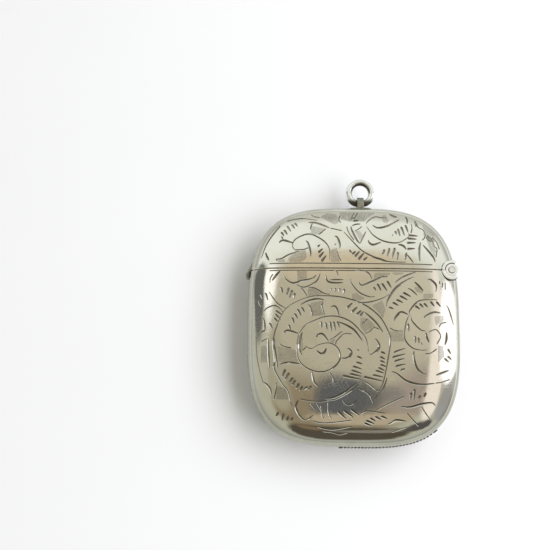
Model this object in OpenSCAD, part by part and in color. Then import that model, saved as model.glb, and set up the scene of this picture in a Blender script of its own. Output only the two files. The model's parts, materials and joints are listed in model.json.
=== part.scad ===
// Vesta case: a pocket case for matches, in silver sheet.
// It lies on its back. +Z points out of the front face, +Y to the lid and its ring, +X to the hinge.
// Units are millimetres.

/* [Case] */
// Width across the widest place
case_w = 44; // [38:0.5:52]
// Height from the base to the top of the lid, without the ring
case_h = 50; // [44:0.5:60]
// Thickness from the back to the front
case_t = 12; // [11:0.5:15]
// Thickness of the silver sheet
wall = 0.6; // [0.45:0.05:0.8]
// Squareness of the outline, where 2 is an oval
plan_power = 3.3; // [2.8:0.1:3.6]
// Squareness of the cross-section, where 2 is an oval
face_power = 4; // [3.5:0.1:4.6]
// Depth of the flat worn on the back, which the case lies on
rest_flat = 0.05; // [0.03:0.01:0.12]

/* [Lid] */
// Height of the lid
lid_h = 13.9; // [11:0.1:17]
// Gap between the lid and the body at the seam
seam_gap = 0.12; // [0.08:0.02:0.24]
// How far the thumb piece stands out of the lid
nib_out = 1; // [0.8:0.1:1.8]
// Length of the thumb piece through the thickness
nib_len = 3.6; // [3:0.2:6.4]
// How far up the lid the thumb piece runs out
nib_rise = 1.6; // [1.2:0.1:3]
// How far the thumb piece reaches down over the body
nib_drop = 1.2; // [0.6:0.1:1.6]
// Gap between the thumb piece and the body
nib_clear = 0.14; // [0.1:0.02:0.2]
// Radius of the thumb piece's round edge
nib_r = 0.4; // [0.3:0.05:0.5]

/* [Mouth collar] */
// How far the collar rises into the lid
collar_rise = 2; // [1.2:0.1:2.6]
// How far the collar goes down into the body
collar_depth = 3; // [2:0.1:4]
// Thickness of the collar
collar_t = 0.35; // [0.25:0.05:0.5]
// Gap between the collar and the walls around it
collar_gap = 0.16; // [0.14:0.02:0.24]
// How far the ends of the collar stop short of the hinge's lugs
collar_short = 2.2; // [1.6:0.1:3]

/* [Hinge] */
// Radius of the knuckles
barrel_r = 1.3; // [1.1:0.05:1.45]
// How far the hinge axis lies inside the outline
hinge_inset = 1.4; // [1:0.05:1.5]
// Radius of the round lugs that hold the knuckles
lug_r = 2.05; // [1.9:0.05:2.3]
// How far the ends of the hinge stand out of the faces at the lugs
lug_proud = 0.1; // [0.05:0.05:0.3]
// Radius of the hinge pin
pin_r = 0.66; // [0.5:0.02:0.75]
// Clearance of the pin in the lid's knuckle
pin_fit = 0.03; // [0.02:0.01:0.06]
// Length of the lid's knuckle
lid_knuckle_len = 3.2; // [2.6:0.1:3.8]
// Gap between two knuckles
knuckle_gap = 0.1; // [0.08:0.02:0.16]
// Clearance between a lug and a knuckle that turns past it
turn_gap = 0.13; // [0.1:0.01:0.2]

/* [Spring] */
// Thickness of the leaf spring
spring_t = 0.3; // [0.2:0.05:0.4]
// Width of the leaf spring
spring_w = 2.6; // [2:0.1:2.8]
// Gap between the tip of the spring and the lid's knuckle
spring_gap = 0.04; // [0.03:0.01:0.08]
// Length of the spring's straight foot
foot_len = 6; // [4.5:0.1:7]
// Length of the keeper that holds the foot
keeper_len = 3; // [2:0.1:4]
// Thickness of the keeper's metal
keeper_t = 0.5; // [0.4:0.05:0.7]

/* [Striker] */
// How far the middle of the striker lies to the hinge side of the middle of the base
striker_x = 7; // [0:0.5:8]
// Length of the striker let into the base
striker_len = 20; // [16:0.5:21]
// Width of the striker
striker_w = 2.6; // [2:0.1:4]
// Thickness of the striker
striker_t = 0.8; // [0.6:0.05:1.1]
// How far the striker stands out of the surface of the base
striker_proud = 0.2; // [0.05:0.05:0.3]
// Distance from rib to rib on the striker
rib_pitch = 0.7; // [0.6:0.05:1]
// Depth of the cuts between the ribs
rib_depth = 0.28; // [0.2:0.02:0.36]

/* [Ring] */
// How far the ring sits to the hinge side of the middle
ring_x = 1.8; // [-2:0.1:2]
// Outer diameter of the ring
ring_od = 6.4; // [5.6:0.1:7]
// Thickness of the ring's wire
ring_wire = 1.5; // [1.2:0.05:1.7]
// Radial play of the ring in its staple
ring_play = 0.22; // [0.2:0.01:0.3]
// Thickness of the pad under the staple
pad_t = 0.35; // [0.25:0.05:0.5]
// Length of the pad
pad_len = 5.2; // [4.4:0.1:6]
// Width of the pad
pad_w = 3.2; // [2.8:0.1:3.6]
// Width of the staple along the ring
staple_w = 1.4; // [1.1:0.1:1.5]
// Thickness of the metal around the staple's eye
staple_t = 0.45; // [0.35:0.05:0.55]

/* [Hidden] */
half_w = case_w / 2;
half_h = case_h / 2;
half_t = (case_t + rest_flat) / 2;
mid_z = case_t - half_t;
seam_y = half_h - lid_h;
body_top = seam_y - seam_gap / 2;
lid_bottom = seam_y + seam_gap / 2;
// The small gap that stands for a line of solder
solder = 0.02;
// Angle from each pole at which the curved form is closed by a small flat
pole_deg = 4;
arc_steps = 48;
body_rows = 16;
lid_rows = 11;
collar_rows = 4;

// Half the width at height y, on the parting plane, of the form set in by "inset"
function side_x(y, inset) =
    (half_w - inset) * pow(1 - pow(abs(y) / (half_h - inset), plan_power), 1 / plan_power);

// Half the thickness at (x, y) of the form set in by "inset"
function face_z(x, y, inset) =
    let (u = pow(abs(x) / (half_w - inset), plan_power))
    let (v = pow(abs(y) / (half_h - inset), plan_power))
    (half_t - inset) * pow(max(0, 1 - pow(u + v, face_power / plan_power)), 1 / face_power);

// One loop of points around the form at height y
function loop(y, inset) = [
    for (k = [0:arc_steps - 1])
        let (a = 360 * k / arc_steps)
        let (s = cos(a) < 0 ? -1 : 1)
        let (x = s * side_x(y, inset) * pow(abs(cos(a)), 2 / face_power))
        let (z = abs(sin(a)) < 1e-6 ? 0 : face_z(x, y, inset))
        [x, y, mid_z + (sin(a) < 0 ? -z : z)]
];

// The rounded-square form, set in by "inset", between two heights, in rows that close up towards the poles
module form(inset, y_from, y_to, rows) {
    h = half_h - inset;
    a0 = acos(-y_from / h);
    a1 = acos(-y_to / h);
    pts = [for (i = [0:rows]) each loop(-h * cos(a0 + (a1 - a0) * i / rows), inset)];
    n = arc_steps;
    sides = [
        for (i = [0:rows - 1], k = [0:n - 1])
            [i * n + k, i * n + (k + 1) % n, (i + 1) * n + (k + 1) % n, (i + 1) * n + k]
    ];
    low = [[for (k = [n - 1:-1:0]) k]];
    high = [[for (k = [0:n - 1]) rows * n + k]];
    polyhedron(pts, concat(sides, low, high), convexity = 4);
}

function pole_y(inset) = (half_h - inset) * cos(pole_deg);

module body_form(inset, top) {
    form(inset, -pole_y(inset), top, body_rows);
}

module lid_form(inset, bottom) {
    form(inset, bottom, pole_y(inset), lid_rows);
}

// Everything in front of the parting plane, or behind it, as a cutter
module half_space(front) {
    translate([-case_w, -case_h, front ? mid_z : mid_z - 2 * case_t])
        cube([2 * case_w, 2 * case_h, 2 * case_t]);
}

module below_rest() {
    translate([-case_w, -case_h, -2 * case_t])
        cube([2 * case_w, 2 * case_h, 2 * case_t]);
}

// Hinge values
hinge_x = side_x(seam_y, 0) - hinge_inset;
window_r = lug_r + 0.05;
hinge_half = face_z(hinge_x - lug_r, seam_y, 0) + lug_proud;
lid_knuckle_half = lid_knuckle_len / 2;
body_knuckle_from = lid_knuckle_half + knuckle_gap;
body_lug_to = 308;
lid_lug_from = 62;

module at_hinge(z) {
    translate([hinge_x, seam_y, mid_z + z]) children();
}

module hinge_window() {
    at_hinge(-case_t) cylinder(r = window_r, h = 2 * case_t, $fn = 64);
}

// A wedge of the lug's circle between two angles, as a flat shape
module lug_wedge(from, to) {
    intersection() {
        circle(r = lug_r, $fn = 64);
        polygon([
            [0, 0],
            for (i = [0:4])
                let (a = from + (to - from) * i / 4)
                3 * lug_r * [cos(a), sin(a)]
        ]);
    }
}

// Striker values
slot_play = 0.05;

module striker_column(play) {
    translate([striker_x - striker_len / 2 - play, -case_h, mid_z - striker_w / 2 - play])
        cube([striker_len + 2 * play, case_h, striker_w + 2 * play]);
}

// The body
module body_half(front) {
    difference() {
        body_form(0, body_top);
        body_form(wall, body_top + 1);
        half_space(!front);
        below_rest();
        hinge_window();
        striker_column(slot_play);
    }
}

module body_front_shell() {
    color("silver") body_half(true);
}

module body_back_shell() {
    color("silver") body_half(false);
}

// The collar stops short of the hinge, so that the spring and the knuckles have room
collar_end = hinge_x - lug_r - collar_short;

module mouth_collar() {
    color("goldenrod") difference() {
        form(wall + collar_gap, body_top - collar_depth, lid_bottom + collar_rise, collar_rows);
        form(wall + collar_gap + collar_t, body_top - collar_depth - 1,
            lid_bottom + collar_rise + 1, collar_rows);
        translate([collar_end, -case_h, -case_t]) cube([case_w, 2 * case_h, 3 * case_t]);
    }
}

// The striker follows the curve of the base, and its cuts stand square to that curve
function base_y(x) = -half_h * pow(1 - pow(abs(x) / half_w, plan_power), 1 / plan_power);
function base_deg(x) = atan2(base_y(x + 0.05) - base_y(x - 0.05), 0.1);
rib_count = floor((striker_len - 1.2) / rib_pitch / 2);

module striker_strip() {
    color("dimgray") difference() {
        intersection() {
            body_form(-striker_proud, 0);
            striker_column(0);
        }
        body_form(striker_t - striker_proud, 1);
        for (i = [-rib_count:rib_count])
            let (x = striker_x + i * rib_pitch)
            translate([x, base_y(x), mid_z - striker_w])
                rotate(base_deg(x))
                linear_extrude(2 * striker_w)
                polygon([
                    [-0.38 * rib_pitch, -0.5],
                    [0.38 * rib_pitch, -0.5],
                    [0.38 * rib_pitch, -striker_proud],
                    [0, rib_depth - striker_proud],
                    [-0.38 * rib_pitch, -striker_proud]
                ]);
    }
}

// The hinge
module body_joint_bearer() {
    color("silver") difference() {
        at_hinge(-hinge_half) linear_extrude(2 * hinge_half) difference() {
            intersection() {
                lug_wedge(180, body_lug_to);
                translate([-2 * lug_r, -4 * lug_r - seam_gap / 2]) square(4 * lug_r);
            }
            circle(r = barrel_r + solder, $fn = 64);
        }
        at_hinge(-body_knuckle_from) cylinder(r = barrel_r + turn_gap, h = 2 * body_knuckle_from, $fn = 64);
        at_hinge(-body_knuckle_from)
            translate([-2 * lug_r, -2 * lug_r, 0])
            cube([2 * lug_r - 0.4, 4 * lug_r, 2 * body_knuckle_from]);
    }
}

module knuckle(from, to, bore) {
    at_hinge(from) difference() {
        cylinder(r = barrel_r, h = to - from, $fn = 64);
        translate([0, 0, -1]) cylinder(r = bore, h = to - from + 2, $fn = 48);
    }
}

module body_knuckle_front() {
    color("lightgray") knuckle(body_knuckle_from, hinge_half, pin_r + solder);
}

module body_knuckle_rear() {
    color("lightgray") knuckle(-hinge_half, -body_knuckle_from, pin_r + solder);
}

module hinge_pin() {
    color("gray") at_hinge(-hinge_half + 0.04) cylinder(r = pin_r, h = 2 * hinge_half - 0.08, $fn = 48);
}

// The leaf spring leans from its foot on the inner wall to the lid's knuckle
lean = 10;
touch_r = barrel_r + spring_gap;
tip_x = hinge_x - touch_r * cos(lean);
tip_y = seam_y - touch_r * sin(lean);
foot_x = side_x(0, wall) - keeper_t - 6 * solder;
bend_y = tip_y - (foot_x - tip_x) / tan(lean);
foot_y = bend_y - foot_len;
keeper_y = foot_y + (foot_len - keeper_len) / 2;

module lid_spring() {
    rise = 0.06;
    color("slategray") translate([0, 0, mid_z - spring_w / 2]) linear_extrude(spring_w) polygon([
        [foot_x, foot_y],
        [foot_x, bend_y],
        [tip_x - rise * tan(lean), tip_y + rise],
        [tip_x - rise * tan(lean) - spring_t / cos(lean), tip_y + rise],
        [foot_x - spring_t, bend_y - spring_t * tan(lean / 2)],
        [foot_x - spring_t, foot_y]
    ]);
}

module spring_keeper() {
    color("silver") difference() {
        intersection() {
            translate([foot_x - spring_t - keeper_t, keeper_y, mid_z - spring_w / 2 - keeper_t])
                cube([half_w, keeper_len, spring_w + 2 * keeper_t]);
            body_form(wall + solder, seam_y);
        }
        translate([foot_x - spring_t - solder, foot_y - 1, mid_z - spring_w / 2 - solder])
            cube([spring_t + 2 * solder, keeper_len + foot_len, spring_w + 2 * solder]);
    }
}

// The lid
module lid_half(front) {
    difference() {
        lid_form(0, lid_bottom);
        lid_form(wall, lid_bottom - 1);
        half_space(!front);
        below_rest();
        hinge_window();
    }
}

module lid_front_shell() {
    color("silver") lid_half(true);
}

module lid_back_shell() {
    color("silver") lid_half(false);
}

module lid_joint_bearer() {
    color("silver") difference() {
        at_hinge(-hinge_half) linear_extrude(2 * hinge_half) difference() {
            intersection() {
                lug_wedge(lid_lug_from, 180);
                translate([-2 * lug_r, seam_gap / 2]) square(4 * lug_r);
            }
            circle(r = barrel_r + solder, $fn = 64);
        }
        for (from = [-hinge_half - 1, lid_knuckle_half])
            at_hinge(from)
                cylinder(r = barrel_r + turn_gap, h = hinge_half + 1 - lid_knuckle_half, $fn = 64);
    }
}

module lid_knuckle() {
    color("lightgray") knuckle(-lid_knuckle_half, lid_knuckle_half, pin_r + pin_fit);
}

// The thumb piece is a small wedge with a round tip that reaches over the seam, clear of the body
nib_low = lid_bottom - nib_drop;
nib_x = -side_x(lid_bottom, 0) - nib_out + nib_r;

module thumb_piece() {
    color("silver") difference() {
        translate([0, 0, mid_z - nib_len / 2]) linear_extrude(nib_len) {
            translate([nib_x, nib_low + nib_r]) circle(r = nib_r, $fn = 32);
            polygon([
                [nib_x, nib_low],
                [nib_x + nib_out + nib_r, nib_low],
                [nib_x + nib_out + 3 * nib_r, lid_bottom + nib_rise],
                [nib_x + nib_out - nib_r, lid_bottom + nib_rise],
                [nib_x - nib_r * cos(20), nib_low + nib_r + nib_r * sin(20)],
                [nib_x - nib_r * 0.2, nib_low + nib_r]
            ]);
        }
        lid_form(-solder, lid_bottom - 0.01);
        body_form(-nib_clear, lid_bottom);
    }
}

// The ring's fitting
eye_r = ring_wire / 2 + ring_play;
eye_y = half_h + pad_t + staple_t / 3 + eye_r;

module ring_pad() {
    color("silver") difference() {
        intersection() {
            lid_form(-pad_t, half_h / 2);
            union() {
                translate([ring_x - (pad_len - pad_w) / 2, 0, mid_z - pad_w / 2])
                    cube([pad_len - pad_w, case_h, pad_w]);
                for (s = [-1, 1])
                    translate([ring_x + s * (pad_len - pad_w) / 2, 0, mid_z])
                        rotate([-90, 0, 0])
                        cylinder(r = pad_w / 2, h = case_h, $fn = 48);
            }
        }
        lid_form(-solder, half_h / 2 - 1);
    }
}

module ring_staple() {
    foot = eye_y - pole_y(-pad_t) - solder;
    outer_r = eye_r + staple_t;
    color("silver") translate([ring_x - staple_w / 2, eye_y, mid_z]) difference() {
        union() {
            rotate([0, 90, 0]) cylinder(r = outer_r, h = staple_w, $fn = 64);
            translate([0, -foot, -outer_r]) cube([staple_w, foot, 2 * outer_r]);
        }
        translate([-1, 0, 0]) rotate([0, 90, 0]) cylinder(r = eye_r, h = staple_w + 2, $fn = 64);
        translate([-1, -foot - 2 * outer_r, -2 * outer_r]) cube([staple_w + 2, 2 * outer_r, 4 * outer_r]);
    }
}

module suspension_ring() {
    color("silver") translate([ring_x, eye_y + (ring_od - ring_wire) / 2, mid_z])
        rotate_extrude($fn = 96)
        translate([(ring_od - ring_wire) / 2, 0])
        circle(d = ring_wire, $fn = 48);
}

body_front_shell();
body_back_shell();
mouth_collar();
striker_strip();
body_joint_bearer();
body_knuckle_front();
body_knuckle_rear();
hinge_pin();
lid_spring();
spring_keeper();
lid_front_shell();
lid_back_shell();
lid_joint_bearer();
lid_knuckle();
thumb_piece();
ring_pad();
ring_staple();
suspension_ring();
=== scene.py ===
"""Looks of the vesta case: engraved silver shells, hinge, striker, ring, light and camera.

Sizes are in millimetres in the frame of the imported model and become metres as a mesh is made.
"""

from __future__ import annotations

import json
import logging
import math
from dataclasses import dataclass, field, replace
from enum import Enum
from typing import Callable, Iterable, Sequence

import bmesh
import bpy
import numpy as np
from bpy.types import Material, Node, NodeSocket, NodeTree, Object
from mathutils import Matrix, Vector, kdtree
from mathutils.geometry import delaunay_2d_cdt


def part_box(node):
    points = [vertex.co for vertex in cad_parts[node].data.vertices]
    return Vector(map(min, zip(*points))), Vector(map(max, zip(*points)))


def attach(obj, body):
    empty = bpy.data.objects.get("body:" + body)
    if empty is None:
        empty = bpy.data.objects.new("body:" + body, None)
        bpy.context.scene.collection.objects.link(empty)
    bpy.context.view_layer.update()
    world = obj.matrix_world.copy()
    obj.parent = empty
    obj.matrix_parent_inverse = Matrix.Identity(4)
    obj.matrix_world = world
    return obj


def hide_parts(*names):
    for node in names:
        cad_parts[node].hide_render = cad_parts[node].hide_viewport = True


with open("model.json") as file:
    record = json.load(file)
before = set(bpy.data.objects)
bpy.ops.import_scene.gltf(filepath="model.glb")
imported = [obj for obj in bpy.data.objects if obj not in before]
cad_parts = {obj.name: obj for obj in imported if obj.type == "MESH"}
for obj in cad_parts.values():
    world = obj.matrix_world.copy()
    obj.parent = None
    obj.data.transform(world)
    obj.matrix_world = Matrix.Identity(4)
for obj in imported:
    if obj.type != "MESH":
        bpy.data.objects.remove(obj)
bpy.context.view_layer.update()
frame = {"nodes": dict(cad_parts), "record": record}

MM = 0.001
TINY = 1e-9
LOG = logging.getLogger("vesta_case")

Point = tuple[float, float]
Triple = tuple[float, float, float]


class Cut(Enum):
    """The ways in which the graver makes a line."""

    HAIR = "an even fine line"
    SWELL = "a line that swells in its middle"
    PICK = "a short cut that starts wide and runs out to a point"


@dataclass(frozen=True)
class Stroke:
    """One cut of the graver on the face, seen from the front."""

    kind: Cut  # How the width runs along the cut
    half_width: float  # Half the greatest width
    points: tuple[Point, ...]  # Points that the cut passes through


@dataclass(frozen=True)
class Ground:
    """A patch of close parallel lines that darkens the ground between two leaves."""

    corners: tuple[Point, ...]  # Corners of the patch
    angle: float = 62.0  # Direction of the lines in degrees


# Half widths of the graver's cuts, and how a short cut's width and length follow from its two marks

HAIR_HALF = 0.13
LINE_HALF = 0.18
BOLD_HALF = 0.26
PICK_HALF = 0.31
PICK_SHARE = 0.3
PICK_RUN_OUT = 1.15


def in_pairs(places: Sequence[float]) -> tuple[Point, ...]:
    """Return the points whose x and y are given in turn."""
    return tuple(zip(places[::2], places[1::2]))


def hair(*places: float) -> Stroke:
    """Return a fine line of even width through points, x and y in turn."""
    return Stroke(Cut.HAIR, HAIR_HALF, in_pairs(places))


def line(*places: float) -> Stroke:
    """Return an outline that swells a little, through points, x and y in turn."""
    return Stroke(Cut.SWELL, LINE_HALF, in_pairs(places))


def bold(*places: float) -> Stroke:
    """Return a strong line that swells in its middle, through points, x and y in turn."""
    return Stroke(Cut.SWELL, BOLD_HALF, in_pairs(places))


def picks(*cuts: tuple[float, float, float, float]) -> tuple[Stroke, ...]:
    """Return short shading cuts, each from its wide start to its point.

    Args:
        *cuts: The start of each cut and a mark near its point.

    Returns:
        One stroke for each cut, which runs out past its mark.
    """
    strokes = []
    for x0, y0, x1, y1 in cuts:
        tip = (x0 + PICK_RUN_OUT * (x1 - x0), y0 + PICK_RUN_OUT * (y1 - y0))
        half_width = min(PICK_HALF, PICK_SHARE * math.dist((x0, y0), tip))
        strokes.append(Stroke(Cut.PICK, half_width, ((x0, y0), tip)))
    return tuple(strokes)


# The lid: a leafy branch on the left, a curled leaf on the right, lines along the seam

LID_STROKES: tuple[Stroke, ...] = (
    hair(-17.6, 12.05, -8, 12.05, 4, 12.05, 16.2, 12.05),
    line(-19.3, 13.2, -18, 16.6, -15.8, 19.8, -14.4, 21.2, -11, 21.95, -7.5, 21.45),
    bold(-9.5, 21, -8.2, 20.95, -6.8, 20.5, -5, 19.7),
    hair(-8.6, 20.9, -8.9, 20.2, -9.1, 19.3),
    hair(-7.4, 18.2, -6.6, 18.9, -5.8, 19.6),
    bold(-15.6, 16.4, -15.2, 16.9, -14.4, 17, -12.6, 16.4),
    line(-11.9, 14.6, -12.75, 15.7, -12.2, 17.2, -9.5, 18.35, -6.9, 17.3, -5.3, 15.5, -5.1, 12.6),
    bold(-10.1, 16.9, -9.6, 16.5, -9.1, 14.6, -9.05, 13.4),
    hair(-12.3, 14.9, -10.5, 15, -9.4, 15.4),
    bold(-18.3, 14.6, -18.2, 13.9, -17.6, 12.7),
    line(-16.2, 13, -15, 13.1, -13.5, 13.9, -11.3, 14.7),
    hair(-16.2, 13.1, -15.9, 12.6),
    bold(-4.1, 17.9, -3.5, 17.7, -3, 16.2, -3.05, 15.2),
    hair(-3.6, 14.7, -3.2, 13.4, -2.7, 12.5),
    hair(-4.1, 16, -3.7, 16.3),
    hair(-9, 22.9, -8.3, 22.4, -7, 22.1),
    hair(-5, 19.7, -3.6, 19.4, -2.4, 19.1),
    hair(-2.9, 22.7, -3.1, 21.6, -2.7, 20.9),
    line(-2.2, 19, -0.4, 16.9, 1.6, 14.8, 4, 13.5, 6.6, 12.6, 8.5, 12.45, 10.7, 12.5),
    bold(3.4, 13.5, 5, 13.1, 6.2, 12.7, 7.2, 12.3),
    hair(-1.5, 20.2, -1.3, 19.2, -0.8, 18.2, 0, 17),
    bold(-0.6, 20.2, -0.5, 19.4, 0.5, 17.2, 1.2, 16.3),
    line(1.2, 16.3, 1.7, 17.5, 2.5, 19.1),
    line(-0.5, 20.2, 0.4, 20.6, 1.5, 20.7),
    hair(0.1, 19, 0.9, 19.5, 1.7, 20.2),
    line(2.5, 20.7, 3.1, 21.5, 4.5, 22.4, 5.8, 22.2, 7, 22.3),
    line(2.6, 20.2, 4, 18.2, 6.2, 16.9, 9, 16.6, 11, 17.7, 11.4, 18.4),
    bold(3.8, 20.5, 5, 19.85, 7, 20.3, 8.7, 21.3, 9.6, 21.9),
    bold(10.8, 22.9, 11.1, 22, 11.2, 20.9),
    bold(2.9, 17.2, 3, 16.7, 3.5, 16.2, 4.2, 16.15, 5.6, 16.7),
    bold(9, 16.2, 9.8, 16.1, 10.4, 15.7, 10.7, 15.1),
    bold(10.8, 14.6, 10.6, 13.8, 10.4, 12.9),
    line(10.8, 14.2, 11.4, 13.4, 12.2, 12.3),
    bold(13.8, 16.9, 13.5, 15.6, 13.4, 14.2, 13.5, 12.6),
    bold(14.2, 16.3, 15, 15.4, 16.4, 13.6, 16.7, 12.6),
    hair(12, 21, 12.1, 19.8, 11.8, 18.7),
    bold(7.5, 23.2, 8.2, 22.7, 9.2, 22.4),
    hair(12.9, 21.7, 13.5, 20.2, 14.5, 19.6, 14.8, 18.2, 14.1, 17.2),
    hair(15.1, 18.5, 16.2, 17.6, 16.7, 16.1, 17.2, 15.5, 16.9, 13.6),
    hair(16.2, 18.1, 17.2, 17.1, 17.8, 15.4),
) + picks(
    (-15.2, 19, -14.6, 18.1), (-14.6, 19.5, -13.9, 18.4), (-14, 20.4, -13.2, 19.1),
    (-13, 20.7, -12.4, 19.7), (-12.4, 21, -11.8, 20.2), (-15.1, 18, -14.8, 17.3), (-7.7, 15.5, -7.1, 16),
    (-7.6, 14.2, -6.6, 15.1), (-7.4, 13.2, -6.4, 14.4), (-6.9, 12.3, -5.9, 13.6), (-1.1, 15, -0.6, 14.4),
    (-0.6, 13.9, 0.2, 14.6), (0, 13.4, 1, 14.6), (0.7, 12.8, 1.9, 14.2), (1.7, 12.6, 2.6, 13.4),
    (8, 18.5, 8, 18.1), (8.5, 19.3, 8.8, 18.5), (9.1, 19.8, 9.5, 18.2), (9.8, 20.3, 10.4, 18.4),
    (10.7, 20.7, 11.2, 19.1), (6.3, 15.2, 5.8, 14.1), (7.3, 15.5, 6.8, 13.8), (8.4, 15.6, 7.8, 13.4),
    (9, 14.7, 8.8, 13), (11.3, 18.3, 13.1, 18.2), (11, 17.6, 12.8, 17.5), (10.8, 16.6, 12.6, 16.7),
    (10.8, 15.3, 12.4, 15.4), (12.8, 21.8, 13, 20.4), (-0.6, 22, 0.2, 22), (-0.2, 21.4, 1, 21.5),
)

LID_GROUNDS: tuple[Ground, ...] = (
    Ground(((-16.1, 13), (-14.4, 13), (-14.2, 12.3), (-15.7, 12.3))),
    Ground(((-13.8, 13), (-12, 14.6), (-10, 14.9), (-9.8, 13), (-11, 12.3), (-13.3, 12.3))),
    Ground(((-5, 14.9), (-3.6, 15.4), (-3, 13), (-3.2, 12.3), (-4.8, 12.3))),
    Ground(((-9, 20.3), (-6, 19.6), (-6.9, 18.2), (-9, 18.3))),
    Ground(((-7, 22.3), (-5.5, 23.3), (-3.6, 23), (-3, 21), (-4, 20.5), (-5.5, 21.2))),
    Ground(((0.2, 19), (1.2, 17), (1.8, 18.2), (1.2, 19.2))),
    Ground(((13.5, 21.5), (14.6, 20), (14.4, 18.5), (15.5, 17), (17, 17), (16.8, 19))),
    Ground(((-3, 23.5), (5, 23.5), (3, 22.3), (2.2, 21.2), (-1, 21.2), (-2.8, 21.8))),
    Ground(((6, 22.9), (6.7, 22.9), (7.4, 21.6), (6.8, 20.8), (6, 21.2))),
    Ground(((14.9, 18.1), (15.3, 18.4), (16.2, 17.4), (16.6, 16), (17, 15.3), (16.6, 13.8), (15.6, 15.4))),
)

# The body: one great scroll round a bulb, a smaller scroll at the hinge side, leaves in the corners

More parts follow.
